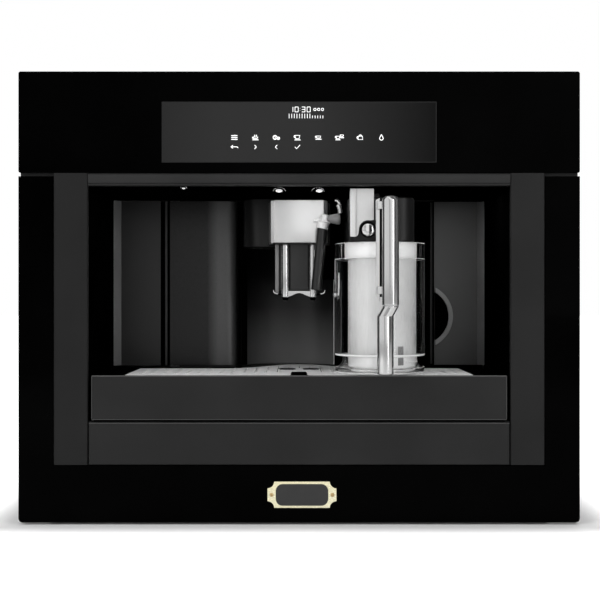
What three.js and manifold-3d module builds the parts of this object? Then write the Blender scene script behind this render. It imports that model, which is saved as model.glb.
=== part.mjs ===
// Built-in coffee machine: a compact glass-fronted appliance that pulls out of its cabinet on
// telescopic rails. Its open bay holds a drip tray, a height-adjustable coffee spout, a water
// tank behind the right-hand front and a milk jug that docks on a steam nozzle.
//
// Millimetres, +Z up. X runs to the viewer's right. Inside the model Y is the distance behind
// the front glass; the exported group moves that plane forward, so that the origin is the
// centre of the machine's base, on the plane it stands on.

import * as THREE from 'three';
import { mergeVertices } from 'three/addons/utils/BufferGeometryUtils.js';
import Module from 'manifold-3d';

const wasm = await Module();
wasm.setup();

// ------------------------------------------------------------------ driving dimensions
// Front, stacked upwards from the base plane.
const floorGap = 2;
const bottomBarHeight = 60.8;
const lowerPanelHeight = 45;
const traySeam = 2.9;
const trayFrontHeight = 47;
const bayHeight = 200.9;
const topBarHeight = 14;
const controlHeight = 107.4;

// Front, from the edges inwards.
const frontWidth = 595;
const legWidth = 37.1;
const pillarWidth = 36.3;
const displayWidth = 291;
const displayHeight = 64.4;
const displayRise = 10.8;

// Body.
const machineDepth = 398;
const bodyInset = 32.5;
const bodyHeight = 440;
const bayDepth = 173;

// Stock and clearances.
const glass = 6;
const carrier = 3;
const sheet = 1.5;
const wall = 2.5;
const thinWall = 2;
const fit = 0.3;
const glassBevel = 0.8;
const frameGap = 3.7;
const displayRecess = 1.2;
const cornerRadius = 14;
const cornerLip = 6;

// Back of the bay, from left to right.
const leftPanelWidth = 64;
const grooveWidth = 4;
const stripWidth = 4.9;
const doorGap = 2.4;
const doorWidth = 83.4;
const doorRadius = 16;
const doorReturn = 19;
const recessGap = 2.5;
const recessDepth = 43;
const steamLeft = 42;
const steamStrip = 6.4;
const tankFrontWidth = 59.5;
const tankFrontDepth = 17.2;

// Tray.
const traySide = 5.1;
const trayDepth = 168;
const trayBell = 62;
const trayBackGap = 4;
const deckThickness = 4.8;
const gridHalf = 186;
const gridStart = 12;
const gridEnd = 124;
const gridBell = 82;
const gridBackInset = 5;
const gridSheet = 2.3;
const slotPitch = 12.3;
const slotWidth = 2;
const slotFront = 17;
const slotBack = 26;
const slotShift = 37;
const floatWidth = 17;
const floatDepth = 26;

// Spout.
const spoutFront = 72;
const spoutHalf = 32;
const coverHeight = 48;
const coverDepth = 32;
const coverDrop = 8.3;
const nozzleHalf = 15.7;
const nozzleRadius = 4.6;
const nozzleBore = 3.4;
const nozzleLength = 60.4;

// Milk jug.
const jugX = 89.2;
const jugDepth = 51.5;
const jugRadius = 49.5;
const jugWall = 2.2;
const jugPedestal = 20.7;
const cupRadius = 38.7;
const lidZone = 58.8;
const collarHeight = 17.2;
const lidHalf = 35.9;
const lidFront = 15;
const lidBack = 165;
const lidRadius = 16;
const lidGap = 10;
const handleDepth = -28;
const handleRadius = 8;
const handleX = 94.5;
const milkDrop = 33.1;
const milkDepth = 60;
const milkPivotX = 28;
const milkTubeRadius = 4.7;
const steamDrop = 33.6;
const buttonRadius = 7.6;

// Inside the body and on its top.
const hopperX = 25;
const hopperDepth = 272;
const hopperNeck = 26;
const grinderRadius = 46;
const knobX = 150;
const knobDepth = 265;
const knobRadius = 16;
const knobStem = 4;
const pumpX = 120;
const pumpStart = 190;
const pumpLength = 122;
const coilRadius = 25;
const heaterX = -115;
const heaterStart = 210;
const heaterLength = 110;
const heaterDepth = 80;
const heaterBlock = 30;
const finHeight = 28;
const hingePin = 1.5;
const lampRadius = 6.7;
const ventPitch = 10;
const ventWidth = 4;
const ventLength = 70;
const sideVentDrop = 110;
const backVentDrop = 150;

// Rails.
const railHeight = 80;
const railHalf = 22.5;
const railStart = 22;
const railLength = 350;
const railSheet = 1.6;
const railReach = 13;

// ------------------------------------------------------------------ levels and planes
const bottomBarTop = floorGap + bottomBarHeight;
const lowerPanelTop = bottomBarTop + lowerPanelHeight;
const trayFrontBottom = lowerPanelTop + traySeam;
const trayFrontTop = trayFrontBottom + trayFrontHeight;
const bayTop = trayFrontTop + bayHeight;
const topBarTop = bayTop + topBarHeight;
const frontTop = topBarTop + controlHeight;
const lowerFrameTop = topBarTop - frameGap;
const halfFront = frontWidth / 2;
const legInner = halfFront - legWidth;
const bayHalf = legInner - pillarWidth;
const bodyHalf = halfFront - bodyInset;
const carrierFront = glass + fit;
const carrierBack = carrierFront + carrier;
const bodyFront = carrierBack + fit;
const shelfTop = lowerPanelTop + 0.5;
const onShelf = shelfTop + fit;
const bayFloor = trayFrontTop + 0.5;
const gridTop = trayFrontTop;
const panelTop = bayTop - fit;
const tankTop = bayTop - 6.6;

const trayReach = bayDepth + recessDepth - trayBackGap;
const gridReach = trayReach - gridBackInset;

// Back of the bay.
const bayLeft = -bayHalf + fit;
const leftPanelRight = bayLeft + leftPanelWidth;
const doorLeft = leftPanelRight + doorGap;
const doorRight = doorLeft + doorWidth;
const recessLeft = doorRight + recessGap;
const recessRight = steamLeft - fit;
const tankFrontRight = bayHalf - fit;
const tankFrontLeft = tankFrontRight - tankFrontWidth;
const stripRight = tankFrontLeft - fit;
const stripLeft = stripRight - steamStrip;
const hingeX = doorLeft + 5.4;
const hingeDepth = bayDepth + 3.5;

// ------------------------------------------------------------------ materials
function finish(color, roughness, metalness = 0, extra = {}) {
  return new THREE.MeshStandardMaterial({ color, roughness, metalness, ...extra });
}

const blackGlass = finish(0x050505, 0.06);
const displayGlass = finish(0x262625, 0.12);
const satinGrey = finish(0x2e2e2c, 0.42, 0.35);
const bayPlastic = finish(0x242423, 0.5);
const darkPlastic = finish(0x161616, 0.45);
const galvanised = finish(0x9a9d9f, 0.45, 0.85);
const brushedSteel = finish(0xc4c4c2, 0.35, 0.9);
const chrome = finish(0xd8d8d8, 0.08, 1);
const silverPaint = finish(0xc2c2c0, 0.3, 0.8);
const aluminium = finish(0xb4b6b8, 0.45, 0.9);
const milkyPlastic = finish(0xe8e8e6, 0.35);
const clearPlastic = finish(0xd6dadb, 0.05, 0, { transparent: true, opacity: 0.4 });
const lampGlass = finish(0xf2f1ec, 0.2);
const floatPlastic = finish(0xb03a2e, 0.5);

// ------------------------------------------------------------------ solids
// A closed geometry as a manifold solid, with its faces pointing out.
function solidOf(geometry) {
  const plain = geometry.index ? geometry.toNonIndexed() : geometry;
  for (const name of Object.keys(plain.attributes)) {
    if (name !== 'position') plain.deleteAttribute(name);
  }
  const merged = mergeVertices(plain, 1e-4);
  const corners = merged.index.array;
  const triangles = [];
  for (let i = 0; i < corners.length; i += 3) {
    const [a, b, c] = [corners[i], corners[i + 1], corners[i + 2]];
    if (a !== b && b !== c && c !== a) triangles.push(a, b, c);
  }
  const vertProperties = Float32Array.from(merged.attributes.position.array);
  const build = (order) => new wasm.Manifold(
    new wasm.Mesh({ numProp: 3, vertProperties, triVerts: Uint32Array.from(order) }),
  );
  const solid = build(triangles);
  return solid.volume() > 0 ? solid : build(triangles.toReversed());
}

function join(...solids) {
  return solids.reduce((whole, next) => whole.add(next));
}

function cut(solid, ...tools) {
  return tools.reduce((left, tool) => left.subtract(tool), solid);
}

function geometryOf(solid) {
  const { numProp, vertProperties, triVerts } = solid.getMesh();
  const positions = new Float32Array((vertProperties.length / numProp) * 3);
  for (let i = 0; i < positions.length / 3; i += 1) {
    positions.set(vertProperties.subarray(i * numProp, i * numProp + 3), i * 3);
  }
  const geometry = new THREE.BufferGeometry();
  geometry.setAttribute('position', new THREE.BufferAttribute(positions, 3));
  geometry.setIndex(new THREE.BufferAttribute(Uint32Array.from(triVerts), 1));
  const faceted = geometry.toNonIndexed();
  faceted.computeVertexNormals();
  return faceted;
}

// ------------------------------------------------------------------ outlines
// An outline is a list of [first, second] coordinates in the plane that is extruded.
function arc(centreX, centreY, radiusX, from, to, steps, radiusY = radiusX) {
  return Array.from({ length: steps + 1 }, (_, i) => {
    const angle = THREE.MathUtils.degToRad(from + ((to - from) * i) / steps);
    return [centreX + radiusX * Math.cos(angle), centreY + radiusY * Math.sin(angle)];
  });
}

function circle(centreX, centreY, radius, sides = 16) {
  return arc(centreX, centreY, radius, 0, 360, sides).slice(0, sides);
}

function rectangle(x0, y0, x1, y1) {
  return [[x0, y0], [x1, y0], [x1, y1], [x0, y1]];
}

function rounded(x0, y0, x1, y1, radius, steps = 2) {
  return [
    ...arc(x1 - radius, y0 + radius, radius, -90, 0, steps),
    ...arc(x1 - radius, y1 - radius, radius, 0, 90, steps),
    ...arc(x0 + radius, y1 - radius, radius, 90, 180, steps),
    ...arc(x0 + radius, y0 + radius, radius, 180, 270, steps),
  ];
}

// The half of a cosine wave from the left foot to the right foot of a bell.
function bell(halfWidth, foot, top, steps = 12) {
  return Array.from({ length: steps + 1 }, (_, i) => {
    const x = halfWidth - (2 * halfWidth * i) / steps;
    return [x, foot + ((top - foot) * (1 + Math.cos((Math.PI * x) / halfWidth))) / 2];
  });
}

function mirrored(outline, side) {
  return outline.map(([x, y]) => [x * side, y]);
}

// ------------------------------------------------------------------ sweeps
function extrude(outline, depth, bevel) {
  const shape = new THREE.Shape(outline.map(([x, y]) => new THREE.Vector2(x, y)));
  return new THREE.ExtrudeGeometry(shape, {
    depth: depth - 2 * bevel,
    bevelEnabled: bevel > 0,
    bevelThickness: bevel,
    bevelSize: bevel,
    bevelOffset: -bevel,
    bevelSegments: 1,
    curveSegments: 1,
  }).translate(0, 0, bevel);
}

// Sweeps an outline between two planes and punches the holes right through it.
function sweep(place, outline, from, to, holes, bevel) {
  const body = solidOf(place(extrude(outline, to - from, bevel), from, to));
  const punches = holes.map((hole) => (
    solidOf(place(extrude(hole, to - from + 2, 0), from - 1, to + 1))
  ));
  return cut(body, ...punches);
}

// Outline in X and Y, swept up.
function alongZ(outline, z0, z1, holes = [], bevel = 0) {
  const place = (geometry, from) => geometry.translate(0, 0, from);
  return sweep(place, outline, z0, z1, holes, bevel);
}

// Outline in X and Z, swept backwards.
function alongY(outline, y0, y1, holes = [], bevel = 0) {
  const place = (geometry, from, to) => geometry.rotateX(Math.PI / 2).translate(0, to, 0);
  return sweep(place, outline, y0, y1, holes, bevel);
}

// Outline in Y and Z, swept to the right.
const yzPlane = new THREE.Matrix4().set(0, 0, 1, 0, 1, 0, 0, 0, 0, 1, 0, 0, 0, 0, 0, 1);

function alongX(outline, x0, x1, holes = [], bevel = 0) {
  const place = (geometry, from) => geometry.applyMatrix4(yzPlane).translate(from, 0, 0);
  return sweep(place, outline, x0, x1, holes, bevel);
}

function block(x0, y0, z0, x1, y1, z1) {
  return alongZ(rectangle(x0, y0, x1, y1), z0, z1);
}

// A skin through rings of equal length, closed with a flat fan at both ends.
function loft(rings) {
  const count = rings[0].length;
  const index = [];
  for (let k = 0; k < rings.length - 1; k += 1) {
    for (let i = 0; i < count; i += 1) {
      const a = k * count + i;
      const b = k * count + ((i + 1) % count);
      index.push(a, b, b + count, a, b + count, a + count);
    }
  }
  const last = (rings.length - 1) * count;
  for (let i = 1; i < count - 1; i += 1) {
    index.push(0, i + 1, i, last, last + i, last + i + 1);
  }
  const geometry = new THREE.BufferGeometry();
  geometry.setAttribute('position', new THREE.Float32BufferAttribute(rings.flat(2), 3));
  geometry.setIndex(index);
  return solidOf(geometry);
}

function level(outline, z) {
  return outline.map(([x, y]) => [x, y, z]);
}

// A profile of [radius, height], closed on itself or on the axis, turned about a vertical line.
function turnedZ(profile, x, y, sides = 16) {
  const points = profile.map(([radius, height]) => new THREE.Vector2(radius, height));
  return solidOf(new THREE.LatheGeometry(points, sides).rotateX(Math.PI / 2).translate(x, y, 0));
}

// The same about a line that runs backwards: the profile is [radius, depth].
function turnedY(profile, x, z, sides = 16) {
  const points = profile.map(([radius, depth]) => new THREE.Vector2(radius, depth));
  return solidOf(new THREE.LatheGeometry(points, sides).translate(x, 0, z));
}

// The same about a line that runs to the right: the profile is [radius, x].
function turnedX(profile, y, z, sides = 16) {
  const points = profile.map(([radius, x]) => new THREE.Vector2(radius, x));
  return solidOf(new THREE.LatheGeometry(points, sides).rotateZ(-Math.PI / 2).translate(0, y, z));
}

// A round bar between two points.
function rod(from, to, radius, sides = 12) {
  const start = new THREE.Vector3(...from);
  const end = new THREE.Vector3(...to);
  const axis = end.clone().sub(start);
  const turn = new THREE.Quaternion().setFromUnitVectors(
    new THREE.Vector3(0, 1, 0),
    axis.clone().normalize(),
  );
  const middle = start.add(end).multiplyScalar(0.5);
  const geometry = new THREE.CylinderGeometry(radius, radius, axis.length(), sides);
  return solidOf(geometry.applyQuaternion(turn).translate(middle.x, middle.y, middle.z));
}

// ------------------------------------------------------------------ front
const displayBottom = topBarTop + displayRise;
const displayHalf = displayWidth / 2;

function makeUpperGlass() {
  const cornerSize = 2;
  const outline = rounded(-halfFront, topBarTop, halfFront, frontTop, cornerSize);
  const pocket = rectangle(-displayHalf, displayBottom, displayHalf, displayBottom + displayHeight);
  return cut(alongY(outline, 0, glass, [], glassBevel), alongY(pocket, -1, displayRecess));
}

function makeDisplayWindow() {
  const top = displayBottom + displayHeight - fit;
  const outline = rectangle(-displayHalf + fit, displayBottom + fit, displayHalf - fit, top);
  return alongY(outline, 0, displayRecess - fit);
}

function makeLowerFrame() {
  const cornerSize = 4;
  const outline = [
    ...arc(-halfFront + cornerSize, floorGap + cornerSize, cornerSize, 180, 270, 2),
    ...arc(halfFront - cornerSize, floorGap + cornerSize, cornerSize, 270, 360, 2),
    [halfFront, lowerFrameTop],
    [legInner, lowerFrameTop],
    [legInner, bottomBarTop],
    [-legInner, bottomBarTop],
    [-legInner, lowerFrameTop],
    [-halfFront, lowerFrameTop],
  ];
  return alongY(outline, 0, glass, [], glassBevel);
}

// Steel plate that holds the glass, with a return flange down both sides and along the top.
function makeFrontCarrier() {
  const inset = 1;
  const flange = 9;
  const half = halfFront - inset;
  const [low, high] = [floorGap + inset, frontTop - inset];
  const openHalf = bayHalf + wall + fit;
  const opening = rectangle(-openHalf, shelfTop, openHalf, bayTop + wall + fit);
  const rim = rectangle(-half + sheet, low - 1, half - sheet, high - sheet);
  return join(
    alongY(rectangle(-half, low, half, high), carrierFront, carrierBack, [opening]),
    alongY(rectangle(-half, low, half, high), carrierBack - 1, carrierBack + flange, [rim]),
  );
}

// Channel section that fills the front between the glass leg and the bay.
function makePillar(side) {
  const recess = 0.2;
  const chamfer = 0.8;
  const outer = legInner - fit;
  const skin = recess + sheet;
  const outline = [
    [bayHalf, glass],
    [bayHalf, recess + chamfer],
    [bayHalf + chamfer, recess],
    [outer - chamfer, recess],
    [outer, recess + chamfer],
    [outer, glass],
    [outer - sheet, glass],
    [outer - sheet, skin],
    [bayHalf + sheet, skin],
    [bayHalf + sheet, glass],
  ];
  return alongZ(mirrored(outline, side), bottomBarTop + fit, topBarTop - fit);
}

// Crowned bar over the bay, with a groove above its lower lip.
function makeTopBar() {
  const bottom = bayTop + fit;
  const top = topBarTop - fit;
  const outline = [
    [glass, bottom],
    [1.2, bottom],
    [0.2, bottom + 0.6],
    [0.2, bottom + 1.3],
    [1.4, bottom + 1.7],
    [1.4, bottom + 2.5],
    [0.3, bottom + 3],
    [0, bottom + 6.5],
    [0.2, top - 3.4],
    [0.9, top - 1.2],
    [2.2, top],
    [glass, top],
  ];
  return alongX(outline, -bayHalf + fit, bayHalf - fit);
}

function makeLowerPanel() {
  const sideGap = 1.2;
  const half = bayHalf - sideGap;
  const outline = rectangle(-half, bottomBarTop + fit, half, lowerPanelTop);
  return alongY(outline, 0, glass, [], glassBevel);
}

// ------------------------------------------------------------------ bay
const lampPlaces = [[-125, 25], [-21.6, 49], [21.6, 49]];

// Side walls and ceiling in one moulding, open to the front, the back and the tray.
function makeCavityLiner() {
  const outer = bayHalf + wall;
  const outline = [
    [-outer, onShelf],
    [-outer, bayTop + wall],
    [outer, bayTop + wall],
    [outer, onShelf],
    [bayHalf, onShelf],
    [bayHalf, bayTop],
    [-bayHalf, bayTop],
    [-bayHalf, onShelf],
  ];
  const lampHoles = lampPlaces.map(([x, y]) => (
    alongZ(circle(x, y, lampRadius + fit, 12), bayTop - 1, bayTop + wall + 1)
  ));
  return cut(alongY(outline, carrierFront, bayDepth - fit), ...lampHoles);
}

function makeLeftBackPanel() {
  const inner = cornerRadius - thinWall;
  const centreX = bayLeft + cornerRadius;
  const centreY = bayDepth - inner;
  const grooveRight = leftPanelRight - stripWidth;
  const grooveLeft = grooveRight - grooveWidth;
  const grooveFloor = bayDepth + 5;
  const stripFront = bayDepth + 1.5;
  const outline = [
    [bayLeft, centreY - cornerLip],
    ...arc(centreX, centreY, cornerRadius, 180, 90, 4),
    [grooveLeft - thinWall, bayDepth + thinWall],
    [grooveLeft - thinWall, grooveFloor + thinWall],
    [grooveRight + thinWall, grooveFloor + thinWall],
    [grooveRight + thinWall, stripFront + thinWall],
    [leftPanelRight, stripFront + thinWall],
    [leftPanelRight, stripFront],
    [grooveRight, stripFront],
    [grooveRight, grooveFloor],
    [grooveLeft, grooveFloor],
    [grooveLeft, bayDepth],
    ...arc(centreX, centreY, inner, 90, 180, 4),
    [bayLeft + thinWall, centreY - cornerLip],
  ];
  return alongZ(outline, bayFloor, panelTop);
}

const housingBottom = bayTop - 56.8;

// Concave wall behind the spout.
function makeRecessPanel() {
  const overrun = 3.7;
  const half = (recessRight - recessLeft) / 2;
  const centreX = (recessRight + recessLeft) / 2;
  const centreY = bayDepth - 1;
  const limit = (radius) => THREE.MathUtils.radToDeg(Math.acos(half / radius));
  const front = half + overrun;
  const back = front + thinWall;
  const outline = [
    ...arc(centreX, centreY, front, limit(front), 180 - limit(front), 12, recessDepth),
    ...arc(centreX, centreY, back, 180 - limit(back), limit(back), 12, recessDepth + thinWall),
  ];
  return alongZ(outline, bayFloor, housingBottom - fit);
}

// Block over the recess, with the T-section rail that the spout slides on.
const railStem = 4.5;
const railHead = 8;
const railHeadFront = 140;
const railStemFront = 143.5;
const housingFront = 150;

function makeSpoutHousing() {
  const left = recessLeft + 3.5;
  const right = recessRight - fit;
  const back = 222;
  const radius = 22;
  const shell = (offset, rear) => [
    [right - offset, rear],
    [left + offset, rear],
    ...arc(left + radius, housingFront + radius, radius - offset, 180, 270, 4),
    [right - offset, housingFront + offset],
  ];
  const railBottom = housingBottom - 31.8;
  const railTop = panelTop - 2.3;
  return join(
    cut(
      alongZ(shell(0, back), housingBottom, panelTop),
      alongZ(shell(wall, back + 1), housingBottom + wall, panelTop + 1),
    ),
    block(-railStem, railStemFront - 1, railBottom, railStem, housingFront + 1, railTop),
    block(-railHead, railHeadFront, railBottom, railHead, railStemFront, railTop),
  );
}

// Black panel with the nozzle, the rib beside the tank, the tank's bay wall and its floor.
const tankBayBack = 385;

function makeSteamPanel() {
  const returnBack = 200;
  const stripFront = bayDepth - 1.5;
  const back = bayDepth + wall;
  const plan = [
    [steamLeft, returnBack],
    [steamLeft, bayDepth],
    [stripLeft, bayDepth],
    [stripLeft, stripFront],
    [stripRight, stripFront],
    [stripRight, back],
    [steamLeft + wall, back],
    [steamLeft + wall, returnBack],
  ];
  const floorBottom = bayFloor - wall + fit;
  const floorTop = bayFloor + fit;
  const legX = tankFrontRight - sheet;
  return join(
    alongZ(plan, floorTop, panelTop),
    block(stripRight - wall, stripFront, onShelf, stripRight, tankBayBack, panelTop),
    block(stripRight - 1, bayDepth + 1, floorBottom, tankFrontRight, tankBayBack, floorTop),
    block(legX, bayDepth + 1, onShelf, tankFrontRight, tankBayBack, floorTop),
  );
}

const steamHeight = bayTop - steamDrop;

function makeConnectionNozzle() {
  const flangeBack = bayDepth - fit;
  const tip = 158;
  const tubeRadius = 7;
  const bore = 3;
  return turnedY([
    [bore, flangeBack],
    [11, flangeBack],
    [11, flangeBack - 1.2],
    [10.2, flangeBack - 2],
    [tubeRadius, flangeBack - 2],
    [tubeRadius, tip + 1],
    [tubeRadius - 1, tip],
    [bore, tip],
    [bore, flangeBack],
  ], jugX, steamHeight);
}

// Lamp bar above the ceiling; its lenses look through the ceiling.
function makeLightBar() {
  const low = bayTop + wall + fit;
  const lensDrop = 1.2;
  const margin = lampRadius + 3;
  const xs = lampPlaces.map(([x]) => x);
  const ys = lampPlaces.map(([, y]) => y);
  const bar = block(
    Math.min(...xs) - margin,
    Math.min(...ys) - margin,
    low,
    Math.max(...xs) + margin,
    Math.max(...ys) + margin,
    low + 4,
  );
  const lenses = lampPlaces.map(([x, y]) => turnedZ([
    [0, bayTop - lensDrop],
    [lampRadius - 1, bayTop - lensDrop],
    [lampRadius, bayTop - lensDrop + 0.6],
    [lampRadius, low + 1],
    [0, low + 1],
  ], x, y, 12));
  return join(bar, ...lenses);
}

// ------------------------------------------------------------------ body
const innerHalf = bodyHalf - sheet - fit;
const backFace = machineDepth - sheet;
const bodyBack = backFace - fit;
const bodyTop = bodyHeight - sheet;

// A row of parallel vent slots, centred on a middle line.
function ventRow(middle, low, count) {
  return Array.from({ length: count }, (_, i) => {
    const left = middle + ventPitch * (i - (count - 1) / 2) - ventWidth / 2;
    return rectangle(left, low, left + ventWidth, low + ventLength);
  });
}

function makeBasePan() {
  const flange = 15;
  const inner = innerHalf - sheet;
  return cut(
    block(-innerHalf, bodyFront, 0, innerHalf, bodyBack, flange),
    block(-inner, bodyFront + sheet, sheet, inner, bodyBack - sheet, flange + 1),
  );
}

function makeSidePanel(side) {
  const vents = ventRow(machineDepth - 62, bodyHeight - sideVentDrop, 9);
  const [x0, x1] = side > 0 ? [bodyHalf - sheet, bodyHalf] : [-bodyHalf, -bodyHalf + sheet];
  return alongX(rectangle(bodyFront, 0.5, bodyBack, bodyTop - fit), x0, x1, vents);
}

function makeBackPanel() {
  const inletX = bodyHalf - 69;
  const inletZ = 42;
  const inletHalf = 15;
  const inletRise = 11;
  const inletDepth = 16;
  const outline = rectangle(-bodyHalf, 0.5, bodyHalf, bodyTop - fit);
  const vents = ventRow(0, bodyHeight - backVentDrop, 14);
  const pocket = (grow) => rectangle(
    inletX - inletHalf - grow,
    inletZ - inletRise - grow,
    inletX + inletHalf + grow,
    inletZ + inletRise + grow,
  );
  return cut(
    join(
      alongY(outline, backFace, machineDepth, vents),
      alongY(pocket(thinWall), backFace - inletDepth, backFace + 1),
    ),
    alongY(pocket(0), backFace - inletDepth + thinWall, machineDepth + 1),
  );
}

const hopperHalfX = 70;
const hopperHalfY = 67.5;
const hopperTop = bodyTop - fit;
const hopperEdge = 4;
const lidOverlap = 5;
const lidUnderside = bodyHeight + fit;
const lidThickness = 5.7;
const lidHingeY = hopperDepth + hopperHalfY + lidOverlap + 6.5;
const lidHingeZ = lidUnderside + lidThickness / 2;
const flapX = -120;
const flapHalfX = 30;
const flapHalfY = 25;
const flapDepth = 265;
const flapThickness = 4.4;
const flapHingeY = flapDepth + flapHalfY + 3.5;
const flapHingeZ = lidUnderside + flapThickness / 2;
const earThickness = 4;

// A pair of lugs for a hinge that lies along X, with holes for the pins.
function hingeEars(left, right, hingeY, hingeZ) {
  const reach = hingePin + 2;
  const outline = [
    [hingeY - reach, bodyTop + 0.5],
    [hingeY + reach, bodyTop + 0.5],
    ...arc(hingeY, hingeZ, reach, 0, 180, 4),
  ];
  const hole = circle(hingeY, hingeZ, hingePin + fit, 8);
  return [
    alongX(outline, left - fit - earThickness, left - fit, [hole]),
    alongX(outline, right + fit, right + fit + earThickness, [hole]),
  ];
}

const barrelInset = 12;
const lidLeft = hopperX - hopperHalfX - lidOverlap;
const lidRight = hopperX + hopperHalfX + lidOverlap;
const lidBarrel = [lidLeft + barrelInset, lidRight - barrelInset];
const flapBarrel = [flapX - flapHalfX + barrelInset, flapX + flapHalfX - barrelInset];

function makeTopPanel() {
  const hopperMouth = rounded(
    hopperX - hopperHalfX + hopperEdge,
    hopperDepth - hopperHalfY + hopperEdge,
    hopperX + hopperHalfX - hopperEdge,
    hopperDepth + hopperHalfY - hopperEdge,
    10,
  );
  const flapMouth = rounded(
    flapX - flapHalfX + 6,
    flapDepth - flapHalfY + 6,
    flapX + flapHalfX - 6,
    flapDepth + flapHalfY - 6,
    6,
  );
  const knobHole = circle(knobX, knobDepth, knobStem + fit, 12);
  const vents = ventRow(bodyHalf - 85.5, machineDepth - ventLength - 18, 10);
  return join(
    alongZ(
      rectangle(-bodyHalf, bodyFront, bodyHalf, machineDepth),
      bodyTop,
      bodyHeight,
      [hopperMouth, flapMouth, knobHole, ...vents],
    ),
    ...hingeEars(lidBarrel[0], lidBarrel[1], lidHingeY, lidHingeZ),
    ...hingeEars(flapBarrel[0], flapBarrel[1], flapHingeY, flapHingeZ),
  );
}

function makeShelf() {
  const flange = 15;
  const low = shelfTop - sheet;
  return join(
    block(-innerHalf, bodyFront, low, innerHalf, bodyBack, shelfTop),
    block(-innerHalf, bodyFront, low - flange, innerHalf, bodyFront + sheet, low + 0.5),
    block(-innerHalf, bodyBack - sheet, low - flange, innerHalf, bodyBack, low + 0.5),
  );
}

// ------------------------------------------------------------------ grinding
const grinderTop = bodyHeight - 68;
const brewLeft = doorLeft - 3.1;
const brewRight = doorRight - 4.5;
const chuteDrop = 50;
const chuteHalfY = 8;
const chuteHalfZ = 6;

// Funnel with an open neck, which stands on the grinder.
function makeHopper() {
  const neckHeight = 6;
  const rimHeight = 12;
  const low = grinderTop + fit;
  const ring = (halfX, halfY, z) => level(
    rectangle(hopperX - halfX, hopperDepth - halfY, hopperX + halfX, hopperDepth + halfY),
    z,
  );
  const funnel = (inset, bottom, top) => loft([
    ring(hopperNeck - inset, hopperNeck - inset, bottom),
    ring(hopperNeck - inset, hopperNeck - inset, low + neckHeight),
    ring(hopperHalfX - inset, hopperHalfY - inset, hopperTop - rimHeight),
    ring(hopperHalfX - inset, hopperHalfY - inset, top),
  ]);
  return cut(funnel(0, low, hopperTop), funnel(thinWall, low - 1, hopperTop + 1));
}

// Motor, gearbox and burr housing in one stack, with the chute that feeds the brewer.
function makeGrinder() {
  const motor = 30;
  const burrs = hopperNeck * 1.46;
  const throat = 16;
  const throatDepth = 3;
  const cone = 9;
  const gearLow = onShelf + 141;
  const gearHigh = gearLow + 40;
  const stack = turnedZ([
    [0, onShelf],
    [motor - 3, onShelf],
    [motor, onShelf + 3],
    [motor, gearLow],
    [grinderRadius, gearLow],
    [grinderRadius, gearHigh - 4],
    [burrs + 2, gearHigh],
    [burrs, gearHigh + 6],
    [burrs, grinderTop - 1],
    [burrs - 1, grinderTop],
    [throat, grinderTop],
    [throat - 2, grinderTop - throatDepth],
    [cone, grinderTop - throatDepth],
    [0, grinderTop - 0.5],
  ], hopperX, hopperDepth);
  const fall = 8;
  const section = (x, z, grow) => [
    [x, hopperDepth - chuteHalfY - grow, z - chuteHalfZ - grow],
    [x, hopperDepth + chuteHalfY + grow, z - chuteHalfZ - grow],
    [x, hopperDepth + chuteHalfY + grow, z + chuteHalfZ + grow],
    [x, hopperDepth - chuteHalfY - grow, z + chuteHalfZ + grow],
  ];
  const chute = (grow) => loft([
    section(brewRight + fit, grinderTop - chuteDrop, grow),
    section(hopperX - motor, grinderTop - chuteDrop + fall, grow),
  ]);
  return cut(join(stack, chute(thinWall)), chute(0));
}

function makeBeanLid() {
  const [low, high] = [lidUnderside, lidUnderside + lidThickness];
  const back = hopperDepth + hopperHalfY + lidOverlap;
  const front = hopperDepth - hopperHalfY - lidOverlap;
  const plate = alongZ(rounded(lidLeft, front, lidRight, back, 12, 3), low, high, [], 1.2);
  const [barrelLeft, barrelRight] = lidBarrel;
  const barrel = lidThickness / 2 - 0.2;
  return join(
    plate,
    block(barrelLeft + 4, back - 2, lidHingeZ - 1.4, barrelRight - 4, lidHingeY, lidHingeZ + 1.4),
    rod([barrelLeft, lidHingeY, lidHingeZ], [barrelRight, lidHingeY, lidHingeZ], barrel, 10),
    rod(
      [barrelLeft - earThickness, lidHingeY, lidHingeZ],
      [barrelRight + earThickness, lidHingeY, lidHingeZ],
      hingePin,
      8,
    ),
  );
}

function makeFunnelFlap() {
  const [low, high] = [lidUnderside, lidUnderside + flapThickness];
  const [front, back] = [flapDepth - flapHalfY, flapDepth + flapHalfY];
  const [barrelLeft, barrelRight] = flapBarrel;
  const barrel = flapThickness / 2 - 0.2;
  return join(
    alongZ(rounded(flapX - flapHalfX, front, flapX + flapHalfX, back, 6), low, high, [], 0.8),
    block(barrelLeft + 3, back - 2, flapHingeZ - 1, barrelRight - 3, flapHingeY, flapHingeZ + 1),
    rod([barrelLeft, flapHingeY, flapHingeZ], [barrelRight, flapHingeY, flapHingeZ], barrel, 10),
    rod(
      [barrelLeft - earThickness, flapHingeY, flapHingeZ],
      [barrelRight + earThickness, flapHingeY, flapHingeZ],
      hingePin,
      8,
    ),
  );
}

function makeGrindKnob() {
  const skirt = lidUnderside;
  const top = skirt + 9;
  const flutes = 8;
  const body = turnedZ([
    [0, skirt - 12],
    [knobStem, skirt - 12],
    [knobStem, skirt],
    [knobRadius, skirt],
    [knobRadius, skirt + 4],
    [knobRadius - 2, top - 1.5],
    [knobRadius - 4, top],
    [0, top],
  ], knobX, knobDepth);
  const scallops = circle(knobX, knobDepth, knobRadius + 2.2, flutes).map(([x, y]) => (
    alongZ(circle(x, y, 4, 8), skirt + 1.5, top + 1)
  ));
  return cut(body, ...scallops);
}

// ------------------------------------------------------------------ brewing
const brewFront = bayDepth + 11;
const brewBack = 345;
const brewTop = bayTop + 1.9;
const brewCentre = (brewLeft + brewRight) / 2;
const guideHalf = 3;
const guideFront = brewBack - 15;
const guideBack = brewBack - 2;

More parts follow.
